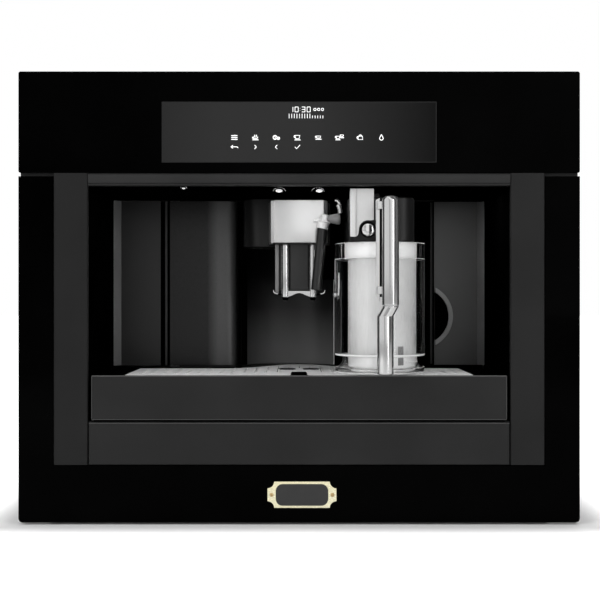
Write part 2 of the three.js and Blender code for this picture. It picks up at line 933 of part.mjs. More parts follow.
// Duct behind the service door, open at the front and the back, with the funnel on top.
function makeBrewBay() {
  const floorTop = bayFloor;
  const upper = rectangle(brewLeft + wall, floorTop, brewRight - wall, brewTop - wall);
  const lower = rectangle(brewLeft + wall, onShelf + wall, brewRight - wall, floorTop - wall);
  const outline = rectangle(brewLeft, onShelf, brewRight, brewTop);
  const earHalf = 5;
  const pinHole = circle(hingeX, hingeDepth, hingePin + 0.5 + fit, 8);
  const ear = (z0, z1) => alongZ(
    rectangle(hingeX - earHalf, bayDepth, hingeX + earHalf, brewFront + 1),
    z0,
    z1,
    [pinHole],
  );
  const funnelRing = (halfX, halfY, z) => level(
    rectangle(flapX - halfX, flapDepth - halfY, flapX + halfX, flapDepth + halfY),
    z,
  );
  const funnel = (grow, low, high) => loft([
    funnelRing(12 + grow, 12 + grow, low),
    funnelRing(flapHalfX - 4 + grow, flapHalfY - 4 + grow, high),
  ]);
  const chuteWindow = block(
    brewRight - wall - 1,
    hopperDepth - chuteHalfY - 1,
    grinderTop - chuteDrop - chuteHalfZ - 1,
    brewRight + 1,
    hopperDepth + chuteHalfY + 1,
    grinderTop - chuteDrop + chuteHalfZ + 1,
  );
  const body = join(
    alongY(outline, brewFront, brewBack, [upper, lower]),
    block(
      brewCentre - guideHalf,
      guideFront,
      floorTop - 1,
      brewCentre + guideHalf,
      guideBack,
      brewTop - wall + 1,
    ),
    ear(brewTop - 2.3, brewTop),
    ear(floorTop - wall + 0.3, floorTop),
    funnel(thinWall, brewTop - 1, bodyTop - fit),
  );
  return cut(body, funnel(0, brewTop - wall - 1, bodyTop + 1), chuteWindow);
}

const containerTop = bayFloor + 74;

function makeGroundsContainer() {
  const taper = 5;
  const [x0, x1] = [brewLeft + wall + 1.5, brewRight - wall - 1.5];
  const [y0, y1] = [brewFront + 3, guideFront - 30];
  const low = bayFloor + fit;
  const box = (inset, z) => level(
    rounded(x0 + inset, y0 + inset, x1 - inset, y1 - inset, 8 - inset / 2),
    z,
  );
  return cut(
    loft([box(taper, low), box(0, containerTop)]),
    loft([box(taper + thinWall, low + thinWall), box(thinWall, containerTop + 1)]),
  );
}

// Brewing chamber on its carriage, which climbs the rib at the back of the duct.
function makeBrewUnit() {
  const low = containerTop + 4;
  const high = low + 92;
  const chamber = 24;
  const chamberY = (brewFront + guideFront) / 2 - 11;
  const halfX = (brewRight - brewLeft) / 2 - 12.2;
  const stem = turnedZ([
    [0, low],
    [chamber - 4, low],
    [chamber, low + 4],
    [chamber, high - 14],
    [chamber + 3, high - 14],
    [chamber + 3, high],
    [chamber - 4, high],
    [chamber - 4, high - 30],
    [0, high - 30],
  ], brewCentre, chamberY);
  const frame = alongY(
    rounded(brewCentre - halfX, low + 12, brewCentre + halfX, high - 22, 5),
    chamberY + 12,
    guideFront - fit,
    [rounded(brewCentre - halfX + 6, low + 18, brewCentre + halfX - 6, high - 28, 4)],
  );
  const carriage = cut(
    block(brewCentre - 16, guideFront - 14, low + 12, brewCentre + 16, guideFront + 9, high - 22),
    block(
      brewCentre - guideHalf - fit,
      guideFront - fit,
      low,
      brewCentre + guideHalf + fit,
      guideBack,
      high,
    ),
  );
  return join(stem, frame, carriage);
}

function makeServiceDoor() {
  const low = bayFloor + 0.4;
  const high = panelTop - 0.4;
  const centreX = doorRight - doorRadius;
  const centreY = bayDepth + doorRadius;
  const outline = [
    [doorLeft, bayDepth],
    ...arc(centreX, centreY, doorRadius, -90, 0, 4),
    [doorRight, bayDepth + doorReturn],
    [doorRight - wall, bayDepth + doorReturn],
    ...arc(centreX, centreY, doorRadius - wall, 0, -90, 4),
    [doorLeft, bayDepth + wall],
  ];
  const boss = hingeDepth - bayDepth;
  const pin = hingePin + 0.5;
  return join(
    alongZ(outline, low, high),
    rod([hingeX, hingeDepth, low], [hingeX, hingeDepth, high], boss, 12),
    rod([hingeX, hingeDepth, low - 2], [hingeX, hingeDepth, high + 2.2], pin, 8),
  );
}

// Vibration pump lying on a cradle: a coil between two stepped ends.
function makePump() {
  const z = coilRadius + 19;
  const end = coilRadius - 7;
  const port = 6.5;
  const at = (share) => pumpStart + pumpLength * share;
  const body = turnedY([
    [0, at(0)],
    [port, at(0)],
    [port, at(0.08)],
    [end, at(0.08)],
    [end, at(0.18)],
    [coilRadius, at(0.18)],
    [coilRadius, at(0.75)],
    [end, at(0.75)],
    [end, at(0.9)],
    [port, at(0.9)],
    [port, at(1)],
    [0, at(1)],
  ], pumpX, z, 12);
  const foot = sheet + fit;
  const saddle = (share) => (
    block(pumpX - 20, at(share), foot, pumpX + 20, at(share) + 6, z)
  );
  const plate = block(pumpX - 26, at(0.22), foot, pumpX + 26, at(0.71), foot + 3);
  return join(body, saddle(0.26), saddle(0.62), plate);
}

// Flow heater: a cast block with fins on top and a spigot at each end of its front.
function makeThermoblock() {
  const finCount = 9;
  const finThickness = 3;
  const edge = 4;
  const low = sheet + fit;
  const right = heaterX + heaterLength;
  const back = heaterStart + heaterDepth;
  const pitch = (heaterLength - 2 * edge - finThickness) / (finCount - 1);
  const top = low + heaterBlock;
  const fins = Array.from({ length: finCount }, (_, i) => {
    const x = heaterX + edge + i * pitch;
    return block(x, heaterStart + edge, top - 2, x + finThickness, back - edge, top + finHeight);
  });
  const spigots = [heaterX + 20, right - 20].map((x) => rod(
    [x, heaterStart - 14, low + heaterBlock / 2],
    [x, heaterStart + 2, low + heaterBlock / 2],
    5,
    10,
  ));
  return join(block(heaterX, heaterStart, low, right, back, top), ...fins, ...spigots);
}

// ------------------------------------------------------------------ tray
const trayHalf = bayHalf - traySide;
const deckTop = trayFrontTop - 1.3;
const gridSeat = gridTop - gridSheet - fit;

function trayOutline(inset) {
  return [
    [-trayHalf + inset, glass + fit + inset],
    [trayHalf - inset, glass + fit + inset],
    [trayHalf - inset, trayDepth - inset],
    ...bell(trayBell - inset, trayDepth - inset, trayReach - inset),
    [-trayHalf + inset, trayDepth - inset],
  ];
}

function gridOutline(grow) {
  return [
    [-gridHalf - grow, gridStart - grow],
    [gridHalf + grow, gridStart - grow],
    [gridHalf + grow, gridEnd + grow],
    ...bell(gridBell + grow, gridEnd + grow, gridReach + grow),
    [-gridHalf - grow, gridEnd + grow],
  ];
}

function makeDripTray() {
  const ledge = 4;
  return cut(
    alongZ(trayOutline(0), onShelf, deckTop),
    alongZ(trayOutline(wall), onShelf + wall, deckTop - deckThickness),
    alongZ(gridOutline(-ledge), deckTop - deckThickness - 1, deckTop + 1),
    alongZ(gridOutline(fit), gridSeat, deckTop + 1),
  );
}

function makeTrayFront() {
  const sideGap = 3.9;
  const bevel = 1.2;
  const half = bayHalf - sideGap;
  const outline = rectangle(-half, trayFrontBottom, half, trayFrontTop);
  return alongY(outline, 0, glass, [], bevel);
}

function makeCupGrid() {
  const margin = 6;
  const cupX = 14;
  const cupY = 106;
  const cupRecess = 10;
  const windowHalf = floatWidth / 2 + 1.3;
  const windowEnd = gridStart + floatDepth + 7;
  const bottom = gridTop - gridSheet;
  const count = Math.floor((gridHalf - margin) / slotPitch);
  const slots = [];
  for (let i = -count; i <= count; i += 1) {
    const x = i * slotPitch;
    const swell = Math.abs(x) < gridBell ? (1 + Math.cos((Math.PI * x) / gridBell)) / 2 : 0;
    const start = Math.abs(x) < cupX + cupRecess
      ? cupY + cupRecess + 2 * margin
      : gridStart + slotFront + slotShift * swell;
    const end = gridEnd - slotBack + (gridReach - gridEnd) * swell;
    slots.push(rectangle(x - slotWidth / 2, start, x + slotWidth / 2, end));
  }
  return cut(
    alongZ(gridOutline(0), bottom, gridTop, slots),
    block(-windowHalf, gridStart - 1, bottom - 1, windowHalf, windowEnd, gridTop + 1),
    ...[-cupX, cupX].map((x) => alongZ(circle(x, cupY, cupRecess, 16), gridTop - 0.8, gridTop + 1)),
  );
}

// Float that rises through the grid when the tray is full.
function makeLevelFloat() {
  const half = floatWidth / 2;
  const front = gridStart + 4;
  const low = onShelf + wall + fit;
  const top = deckTop - 0.9;
  const neck = low + 20;
  return join(
    alongZ(rounded(-half - 6, front - 2, half + 6, front + floatDepth + 6, 4), low, neck),
    alongZ(rounded(-half, front, half, front + floatDepth, 3), neck - 1, top),
  );
}

// ------------------------------------------------------------------ water
const tankFloor = bayFloor + 0.7;

function makeWaterTank() {
  const left = tankFrontLeft + 5;
  const right = tankFrontRight - 1.1;
  const front = bayDepth + tankFrontDepth + fit;
  const back = tankBayBack - 1;
  const plan = (inset, z) => level(
    rounded(left + inset, front + inset, right - inset, back - inset, 8 - inset),
    z,
  );
  return cut(
    loft([plan(0, tankFloor), plan(0, tankTop)]),
    loft([plan(thinWall, tankFloor + thinWall), plan(thinWall, tankTop + 1)]),
  );
}

function makeTankLid() {
  const left = tankFrontLeft + 5;
  const right = tankFrontRight - 1.1;
  const front = bayDepth + tankFrontDepth + fit;
  const back = tankBayBack - 1;
  const low = tankTop + fit;
  const plug = thinWall + fit;
  return join(
    alongZ(rounded(left, front, right, back, 8), low, low + 4.2, [], 1),
    alongZ(
      rounded(left + plug, front + plug, right - plug, back - plug, 5),
      tankTop - 5,
      low + 1,
    ),
  );
}

// Front of the tank: a hollow moulding with a round finger grip cut by its left edge.
function makeTankFront() {
  const gripX = stripLeft - 10;
  const gripZ = trayFrontTop + 60.2;
  const gripRadius = 34.2;
  const rimRadius = 39.5;
  const gripDepth = 14.7;
  const rimRise = 1.5;
  const high = bayTop - 1.6;
  const back = bayDepth + tankFrontDepth;
  const hollow = cut(
    block(tankFrontLeft, bayDepth, tankFloor, tankFrontRight, back, high),
    block(
      tankFrontLeft + wall,
      bayDepth + wall,
      tankFloor + wall,
      tankFrontRight - wall,
      back + 1,
      high - wall,
    ),
  );
  const leftOf = block(
    gripX - 2 * rimRadius, bayDepth - 9, tankFloor, tankFrontLeft, back + 9, high,
  );
  const disc = (radius, y0, y1) => alongY(circle(gripX, gripZ, radius, 36), y0, y1);
  const rim = cut(disc(rimRadius, bayDepth - rimRise, bayDepth + gripDepth + wall), leftOf);
  return cut(join(hollow, rim), disc(gripRadius, bayDepth - rimRise - 1, bayDepth + gripDepth));
}

// ------------------------------------------------------------------ spout
const coverTop = bayTop - coverDrop;
const coverLow = coverTop - coverHeight;
const coverBack = spoutFront + coverDepth;
const nozzleY = spoutFront + 16;
const nozzleTop = coverLow - 0.7;
const nozzleLow = nozzleTop - nozzleLength;
const lipTop = nozzleLow + 8;
const lipLow = nozzleLow + 2.2;

function coverPlan(inset, rear) {
  const flat = spoutHalf - 4.5;
  return [
    [-spoutHalf + inset, rear],
    [-spoutHalf + inset, spoutFront + 8 + inset / 3],
    [-flat + inset / 2, spoutFront + inset],
    [flat - inset / 2, spoutFront + inset],
    [spoutHalf - inset, spoutFront + 8 + inset / 3],
    [spoutHalf - inset, rear],
  ];
}

function makeSpoutCover() {
  return cut(
    alongZ(coverPlan(0, coverBack), coverLow, coverTop, [], 0.6),
    alongZ(coverPlan(sheet, coverBack + 1), coverLow - 1, coverTop - sheet),
  );
}

function makeSpoutBlock() {
  const rearHalf = spoutHalf + 4;
  const rear = 146;
  const skin = sheet + fit;
  const upperLow = coverLow - 0.4;
  const lowerHalf = spoutHalf - 5.4;
  const lowerFront = nozzleY + nozzleRadius + 0.4;
  const lowerBack = spoutFront + 60;
  const ribHalf = 9.8;
  const tips = [-nozzleHalf, nozzleHalf].map((x) => turnedZ([
    [0, nozzleLow - 4.5],
    [nozzleBore - 1, nozzleLow - 4.5],
    [nozzleBore - fit, nozzleLow - 2],
    [nozzleBore - fit, upperLow + 1],
    [0, upperLow + 1],
  ], x, nozzleY, 12));
  return cut(
    join(
      alongZ(coverPlan(skin, coverBack + 1), upperLow, coverTop - skin),
      alongZ(rounded(-rearHalf, coverBack + fit, rearHalf, rear, 3), upperLow, coverTop - 0.5),
      alongZ(
        rounded(-lowerHalf, lowerFront, lowerHalf, lowerBack, 4),
        lipTop + fit,
        upperLow + 1,
      ),
      block(-ribHalf, nozzleY - 3, lipTop + fit, ribHalf, lowerFront + 1, upperLow + 1),
      ...tips,
    ),
    block(
      -railHead - fit, railHeadFront - fit, lipLow, railHead + fit, railStemFront + fit, bayTop,
    ),
    block(-railStem - fit, railStemFront, lipLow, railStem + fit, rear + 1, bayTop),
  );
}

// Chrome outlet: two tubes on an arched lip with turned-up ends.
function makeSpoutManifold() {
  const lipHalf = spoutHalf - 2;
  const lipFront = spoutFront + 6;
  const lipBack = spoutFront + 54;
  const thickness = 2.4;
  const archHalf = nozzleHalf - nozzleRadius - 0.5;
  const outline = [
    [-lipHalf, lipTop],
    [-lipHalf + 1.5, lipLow + 0.8],
    [-lipHalf + 4, lipLow],
    [-archHalf, lipLow],
    ...arc(0, lipLow, archHalf, 180, 0, 6, 2.6),
    [lipHalf - 4, lipLow],
    [lipHalf - 1.5, lipLow + 0.8],
    [lipHalf, lipTop],
    [lipHalf - 2, lipTop],
    [lipHalf - 4.2, lipLow + thickness],
    ...arc(0, lipLow + thickness, archHalf, 0, 180, 6, 2.6),
    [-lipHalf + 4.2, lipLow + thickness],
    [-lipHalf + 2, lipTop],
  ];
  const tube = (x) => turnedZ([
    [nozzleBore, nozzleLow],
    [nozzleRadius - 0.6, nozzleLow],
    [nozzleRadius, nozzleLow + 0.8],
    [nozzleRadius, nozzleTop],
    [nozzleBore, nozzleTop],
    [nozzleBore, nozzleLow],
  ], x, nozzleY, 16);
  const bore = (x) => alongZ(circle(x, nozzleY, nozzleBore + 0.4, 12), lipLow - 1, lipTop + 1);
  return join(
    cut(alongY(outline, lipFront, lipBack), bore(-nozzleHalf), bore(nozzleHalf)),
    tube(-nozzleHalf),
    tube(nozzleHalf),
  );
}

// ------------------------------------------------------------------ milk jug
const jugLow = gridTop + fit;
const collarTop = bayTop - lidZone;
const collarLow = collarTop - collarHeight;
const jugSides = 20;
const lidLow = collarTop + fit;
const lidTop = bayTop - lidGap;
const milkHeight = bayTop - milkDrop;
const buttonX = jugX - 15.2;
const buttonZ = lidLow + 13.2;
const fasciaTop = bayTop - 1.3;
const fasciaBack = lidFront - fit;
const cursorX = jugX - 6.2;
const cursorFront = lidFront + 3.5;

// Clear outer wall on a flared foot, with a collar that holds the cup.
function makeJugShell() {
  const inner = jugRadius - jugWall;
  const floor = jugLow + jugPedestal;
  const bore = cupRadius + 0.5;
  const skin = 1.8;
  const flare = jugRadius - bore - skin;
  const flareTop = jugLow + 15;
  const footWidth = 3;
  const heel = THREE.MathUtils.radToDeg(Math.acos(footWidth / (flare + skin)));
  const collarInner = cupRadius + 2.3;
  return turnedZ([
    [jugRadius, jugLow],
    ...arc(jugRadius, flareTop, flare, 270, 180, 4),
    [jugRadius - flare, floor - 2.4],
    [jugRadius - 1, floor - 1.6],
    [jugRadius, floor],
    [jugRadius, collarTop],
    [collarInner, collarTop],
    [collarInner, collarLow],
    [inner, collarLow],
    [inner, floor + 2],
    [bore, floor + 2],
    ...arc(jugRadius, flareTop, flare + skin, 180, 180 + heel, 4),
    [jugRadius - footWidth, jugLow],
    [jugRadius, jugLow],
  ], jugX, jugDepth, jugSides);
}

function makeJugCup() {
  const flange = cupRadius + 1.9;
  const bore = cupRadius - jugWall;
  const low = jugLow + 0.7;
  const top = collarTop - fit;
  return turnedZ([
    [0, low],
    [cupRadius - 3, low],
    [cupRadius, low + 3],
    [cupRadius, collarLow + fit],
    [flange, collarLow + fit],
    [flange, top],
    [bore, top],
    [bore, low + 4],
    [bore - 2, low + jugWall],
    [0, low + jugWall],
  ], jugX, jugDepth, jugSides);
}

function makeMilkLid() {
  const plugRadius = cupRadius - jugWall - fit;
  const plugLow = collarTop - 6.8;
  const nozzleClearance = 8;
  const nozzleMouth = 156;
  const buttonBore = buttonRadius + 1;
  const body = alongZ(
    rounded(jugX - lidHalf, lidFront, jugX + lidHalf, lidBack, lidRadius, 4),
    lidLow,
    lidTop,
    [],
    1.5,
  );
  const plug = turnedZ(
    [[0, plugLow], [plugRadius, plugLow], [plugRadius, lidLow + 1.6], [0, lidLow + 1.6]],
    jugX,
    jugDepth,
    jugSides,
  );
  return cut(
    join(body, plug),
    alongY(circle(jugX, steamHeight, nozzleClearance, 12), nozzleMouth, lidBack + 1),
    alongY(circle(buttonX, buttonZ, buttonBore, 16), lidFront - 1, lidFront + 9),
    block(cursorX - 3.5, cursorFront - 1, lidTop - 3.5, cursorX + 3.5, cursorFront + 36, lidTop + 1),
  );
}

// Silver plate over the lid's left front, with a finger of trim round the clean button.
function makeLidFascia() {
  const left = jugX - lidHalf + 0.6;
  const right = jugX - 9.1;
  const shoulder = buttonZ + 10.2;
  const legRight = left + 9.1;
  const legLow = lidLow + 5.3;
  const thickness = 1.7;
  const lowerArc = arc(buttonX, buttonZ, buttonRadius + 2.3, 82, 180, 6)
    .filter(([x]) => x > legRight);
  const outline = [
    [left, legLow],
    [left, fasciaTop],
    [right, fasciaTop],
    [right, shoulder],
    ...lowerArc,
    [legRight, legLow],
  ];
  const side = alongX(
    [
      [fasciaBack - thickness, lidTop + fit],
      [lidFront + 12, lidTop + fit],
      [lidFront + 12, fasciaTop - 3],
      [lidFront + 4, fasciaTop],
      [fasciaBack - thickness, fasciaTop],
    ],
    left,
    left + thickness,
  );
  return join(alongY(outline, fasciaBack - thickness, fasciaBack, [], 0.3), side);
}

// Upper half of the handle, carried by the lid.
const gripTop = lidTop - 2.3;
const gripSplit = lidLow - 68.2;

function makeLidHandle() {
  const bracket = 6;
  const bar = turnedZ([
    [0, gripSplit],
    [handleRadius - 0.4, gripSplit],
    [handleRadius, gripSplit + 1],
    [handleRadius, gripTop - 5],
    [handleRadius - 2.4, gripTop - 1.4],
    [0, gripTop],
  ], handleX, handleDepth);
  const arm = alongX(
    [
      [handleDepth, gripTop - 16],
      [fasciaBack - 6, gripTop - 16],
      [fasciaBack, gripTop - 19],
      [fasciaBack, gripTop - 1],
      [fasciaBack - 6, gripTop - 3],
      [handleDepth, gripTop - 3],
    ],
    handleX - bracket,
    handleX + bracket,
  );
  const stripX = handleX - handleRadius - 5.6;
  const strip = alongX(
    [
      [handleDepth + 9, gripSplit + 4],
      [handleDepth + 15, gripSplit + 4],
      [handleDepth + 15, gripTop - 2],
      [handleDepth + 9, gripTop - 2],
    ],
    stripX,
    stripX + 4.2,
  );
  const webs = [gripSplit + 8, gripTop - 14].map((z) => (
    block(stripX + 1, handleDepth + 3, z, handleX, handleDepth + 11, z + 8)
  ));
  return join(bar, arm, strip, ...webs);
}

// Lower half of the handle, carried by the jug.
function makeJugHandle() {
  const radius = handleRadius - 0.25;
  const low = jugLow + 2.7;
  const neck = gripSplit - 10.6;
  const brace = 6;
  const shellFront = jugDepth - jugRadius - fit;
  const bar = turnedZ(
    [[0, low], [radius - 1, low], [radius, low + 1], [radius, neck], [0, neck]],
    jugX,
    handleDepth,
  );
  const elbow = loft([
    level(circle(jugX, handleDepth, radius), neck - 0.5),
    level(circle(handleX, handleDepth, radius), gripSplit - fit),
  ]);
  const arm = (z0, z1) => alongX(
    [
      [handleDepth, z0],
      [shellFront, z0],
      [shellFront, z1],
      [handleDepth, z1],
    ],
    jugX - brace,
    jugX + brace,
  );
  const toe = alongY(
    [
      [jugX - radius - 1, low - 1],
      [jugX - radius + 5.5, low - 1],
      [jugX - radius - 1, low + 9],
    ],
    handleDepth - radius - 1,
    handleDepth + radius + 1,
  );
  return cut(join(bar, elbow, arm(low, low + 10), arm(neck - 7.3, neck + 2.7)), toe);
}

function makeIntakeTube() {
  const x = jugX + 24;
  const radius = 3.25;
  const bore = 2;
  const low = jugLow + 7.7;
  const top = collarTop - 7.1;
  return turnedZ(
    [[bore, low], [radius, low], [radius, top], [bore, top], [bore, low]],
    x,
    jugDepth,
    10,
  );
}

const spigotRadius = 2.8;

function makeOutletArm() {
  const root = jugX - lidHalf - fit;
  const shoulder = milkPivotX + 7.3;
  const tip = milkPivotX + 1;
  return turnedX([
    [0, tip],
    [spigotRadius, tip],
    [spigotRadius, shoulder],
    [4.5, shoulder],
    [5.2, shoulder + 6],
    [6.5, root - 4],
    [6.5, root],
    [0, root],
  ], milkDepth, milkHeight, 14);
}

// Cap that swivels on the spigot and carries the black milk tube.
function makeMilkCap() {
  const top = milkHeight + 7.7;
  const flange = milkHeight - 0.5;
  const low = milkHeight - 8.6;
  const body = turnedZ([
    [0, low + 1.1],
    [5.4, low + 1.1],
    [5.4, low],
    [6.6, low],
    [6.9, flange - 1.5],
    [7, flange],
    [4.9, flange + 0.6],
    [4.9, top - 1.2],
    [3.9, top],
    [0, top],
  ], milkPivotX, milkDepth, 14);
  return cut(body, rod(
    [milkPivotX - 0.3, milkDepth, milkHeight],
    [milkPivotX + 9, milkDepth, milkHeight],
    spigotRadius + fit,
  ));
}

function makeMilkTube() {
  const length = 69;
  const tilt = THREE.MathUtils.degToRad(6.2);
  const top = milkHeight - 8;
  const end = [
    milkPivotX - 0.3 - length * Math.sin(tilt),
    milkDepth,
    top - length * Math.cos(tilt),
  ];
  const start = [milkPivotX - 0.3, milkDepth, top];
  const bore = milkTubeRadius - 1.7;
  const below = [
    milkPivotX - 0.3 - (length + 5) * Math.sin(tilt),
    milkDepth,
    top - (length + 5) * Math.cos(tilt),
  ];
  const up = [
    milkPivotX - 0.3 - (length - 20) * Math.sin(tilt),
    milkDepth,
    top - (length - 20) * Math.cos(tilt),
  ];
  return cut(rod(start, end, milkTubeRadius, 14), rod(up, below, bore, 10));
}

function makeCleanButton() {
  const face = lidFront - 1.6;
  const back = lidFront + 6.4;
  return turnedY([
    [0, face],
    [buttonRadius - 3, face + 0.3],
    [buttonRadius - 0.8, face + 1.2],
    [buttonRadius, face + 2.4],
    [buttonRadius, back],
    [0, back],
  ], buttonX, buttonZ);
}

function makeFrothCursor() {
  const half = 3.2;
  return join(
    block(cursorX - half, cursorFront, lidTop - 3.2, cursorX + half, cursorFront + 10, lidTop + 1),
    alongX(
      [
        [cursorFront, lidTop + fit],
        [cursorFront + 10, lidTop + fit],
        [cursorFront + 8.5, lidTop + 4],
        [cursorFront + 1.5, lidTop + 4],
      ],
      cursorX - half,
      cursorX + half,
    ),
  );
}

// ------------------------------------------------------------------ rails
// Channel with its web standing at the given distance from the middle of the machine.
function railSection(web, tip, half, gauge) {
  const inwards = Math.sign(tip - web);
  return [
    [web, railHeight - half],
    [tip, railHeight - half],
    [tip, railHeight - half + gauge],
    [web + inwards * gauge, railHeight - half + gauge],
    [web + inwards * gauge, railHeight + half - gauge],
    [tip, railHeight + half - gauge],
    [tip, railHeight + half],
    [web, railHeight + half],
  ];
}

const machineWeb = bodyHalf + fit;
const cabinetWeb = bodyHalf + railReach;
const middleWeb = cabinetWeb - railSheet - fit;
const railEnd = railStart + railLength;

function makeCabinetRail(side) {
  const section = railSection(cabinetWeb, machineWeb + 2.6, railHalf, railSheet);
  const web = side * (cabinetWeb - railSheet / 2);
  const holes = [0.11, 0.51, 0.89].map((share) => (
    alongX(circle(railStart + railLength * share, railHeight, 2.5, 10), web - 2, web + 2)
  ));
  return cut(alongY(mirrored(section, side), railStart, railEnd), ...holes);
}

function makeMiddleRail(side) {
  const half = railHalf - railSheet - fit;
  const section = railSection(middleWeb, machineWeb + 2.9, half, sheet);
  return alongY(mirrored(section, side), railStart + 2, railEnd);
}

function makeMachineRail(side) {
  const half = railHalf - railSheet - sheet - 2 * fit - 0.3;
  const section = railSection(machineWeb, middleWeb - sheet - fit, half, railSheet);
  return alongY(mirrored(section, side), railStart + 2, railEnd);
}

// ------------------------------------------------------------------ assembly
const model = new THREE.Group();
model.position.y = -machineDepth / 2;

function assembly(...pieces) {
  const group = new THREE.Group();
  for (const [name, solid, material] of pieces) {
    const mesh = new THREE.Mesh(geometryOf(solid), material);
    mesh.name = name;
    group.add(mesh);
  }
  model.add(group);
}

// Front.
assembly(
  ['upper_glass_panel', makeUpperGlass(), blackGlass],
  ['display_window', makeDisplayWindow(), displayGlass],
  ['lower_glass_frame', makeLowerFrame(), blackGlass],
  ['front_carrier', makeFrontCarrier(), satinGrey],
  ['left_pillar', makePillar(-1), satinGrey],
  ['right_pillar', makePillar(1), satinGrey],
  ['top_bar', makeTopBar(), satinGrey],
  ['lower_panel', makeLowerPanel(), satinGrey],
);

// Bay.
assembly(
  ['cavity_liner', makeCavityLiner(), bayPlastic],
  ['left_back_panel', makeLeftBackPanel(), bayPlastic],
  ['recess_panel', makeRecessPanel(), bayPlastic],
  ['spout_housing', makeSpoutHousing(), bayPlastic],
  ['steam_panel', makeSteamPanel(), darkPlastic],
  ['connection_nozzle', makeConnectionNozzle(), chrome],
  ['cup_light_bar', makeLightBar(), lampGlass],
);

// Body.
assembly(
  ['base_pan', makeBasePan(), galvanised],
  ['left_side_panel', makeSidePanel(-1), galvanised],
  ['right_side_panel', makeSidePanel(1), galvanised],
  ['back_panel', makeBackPanel(), galvanised],
  ['top_panel', makeTopPanel(), galvanised],
  ['chassis_shelf', makeShelf(), galvanised],
);

// Grinding and brewing.
assembly(
  ['bean_hopper', makeHopper(), darkPlastic],
  ['grinder', makeGrinder(), darkPlastic],
  ['brew_bay', makeBrewBay(), darkPlastic],
  ['grounds_container', makeGroundsContainer(), darkPlastic],
  ['brew_unit', makeBrewUnit(), milkyPlastic],
  ['service_door', makeServiceDoor(), bayPlastic],
  ['pump', makePump(), darkPlastic],
  ['thermoblock', makeThermoblock(), aluminium],
  ['bean_lid', makeBeanLid(), darkPlastic],
  ['funnel_flap', makeFunnelFlap(), darkPlastic],
  ['grind_knob', makeGrindKnob(), darkPlastic],
);

// Tray.
assembly(
  ['drip_tray', makeDripTray(), darkPlastic],
  ['tray_front', makeTrayFront(), satinGrey],
  ['cup_grid', makeCupGrid(), brushedSteel],
  ['level_float', makeLevelFloat(), floatPlastic],
);

// Water.
assembly(
  ['water_tank', makeWaterTank(), clearPlastic],
  ['tank_front', makeTankFront(), bayPlastic],
  ['tank_lid', makeTankLid(), darkPlastic],
);

// Spout.
assembly(
  ['spout_cover', makeSpoutCover(), silverPaint],
  ['spout_block', makeSpoutBlock(), darkPlastic],
  ['spout_manifold', makeSpoutManifold(), chrome],
);

// Milk jug.
assembly(
  ['jug_shell', makeJugShell(), clearPlastic],
  ['jug_cup', makeJugCup(), milkyPlastic],
  ['milk_lid', makeMilkLid(), bayPlastic],
  ['lid_fascia', makeLidFascia(), silverPaint],
  ['lid_handle', makeLidHandle(), chrome],
  ['jug_handle', makeJugHandle(), chrome],
  ['milk_intake_tube', makeIntakeTube(), milkyPlastic],
  ['milk_outlet_arm', makeOutletArm(), bayPlastic],
  ['milk_spout_cap', makeMilkCap(), chrome],
  ['milk_spout_tube', makeMilkTube(), darkPlastic],
  ['clean_button', makeCleanButton(), darkPlastic],
  ['froth_cursor', makeFrothCursor(), darkPlastic],
);

// Rails.
assembly(
  ['cabinet_rail_left', makeCabinetRail(-1), galvanised],
  ['cabinet_rail_right', makeCabinetRail(1), galvanised],
  ['middle_rail_left', makeMiddleRail(-1), galvanised],
  ['middle_rail_right', makeMiddleRail(1), galvanised],
  ['machine_rail_left', makeMachineRail(-1), galvanised],
  ['machine_rail_right', makeMachineRail(1), galvanised],
);

export default model;
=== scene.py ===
"""Looks of the built-in coffee machine: finishes, smooth chrome and clear parts, display, plate,
small fittings, studio and camera.

Sizes are millimetres in the machine's own frame: x to the viewer's right, d the depth behind the
front glass, z up. metres() turns such a place into Blender's frame, whose origin is the middle of
the machine's base.
"""

import math

import bmesh
import bpy
from mathutils import Matrix, Vector


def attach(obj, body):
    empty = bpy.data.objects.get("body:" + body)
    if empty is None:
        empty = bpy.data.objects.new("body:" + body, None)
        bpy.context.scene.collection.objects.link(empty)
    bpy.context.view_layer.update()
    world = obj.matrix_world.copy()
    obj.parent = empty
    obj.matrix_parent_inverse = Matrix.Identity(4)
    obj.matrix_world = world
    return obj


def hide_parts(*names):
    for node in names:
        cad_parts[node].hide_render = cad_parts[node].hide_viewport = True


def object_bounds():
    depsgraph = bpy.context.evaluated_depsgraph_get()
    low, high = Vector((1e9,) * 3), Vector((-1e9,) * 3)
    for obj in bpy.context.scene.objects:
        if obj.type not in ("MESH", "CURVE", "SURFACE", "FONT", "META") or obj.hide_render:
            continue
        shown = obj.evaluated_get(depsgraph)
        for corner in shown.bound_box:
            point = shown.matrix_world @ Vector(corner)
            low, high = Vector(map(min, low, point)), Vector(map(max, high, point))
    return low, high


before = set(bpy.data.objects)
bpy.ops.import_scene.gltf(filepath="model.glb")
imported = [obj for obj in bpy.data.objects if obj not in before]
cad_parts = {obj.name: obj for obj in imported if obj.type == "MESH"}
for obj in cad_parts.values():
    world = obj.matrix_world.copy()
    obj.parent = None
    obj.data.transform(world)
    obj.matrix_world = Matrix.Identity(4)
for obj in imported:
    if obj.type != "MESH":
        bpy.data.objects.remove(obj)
cad_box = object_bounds()

# ---------------------------------------------------------------- sizes of the machine
MM = 0.001
BEVEL_ANGLE, FACET_ANGLE = 35, 32  # degrees from which edges are bevelled, or stay sharp
HALF_DEPTH = 199  # from the front glass to the middle of the machine

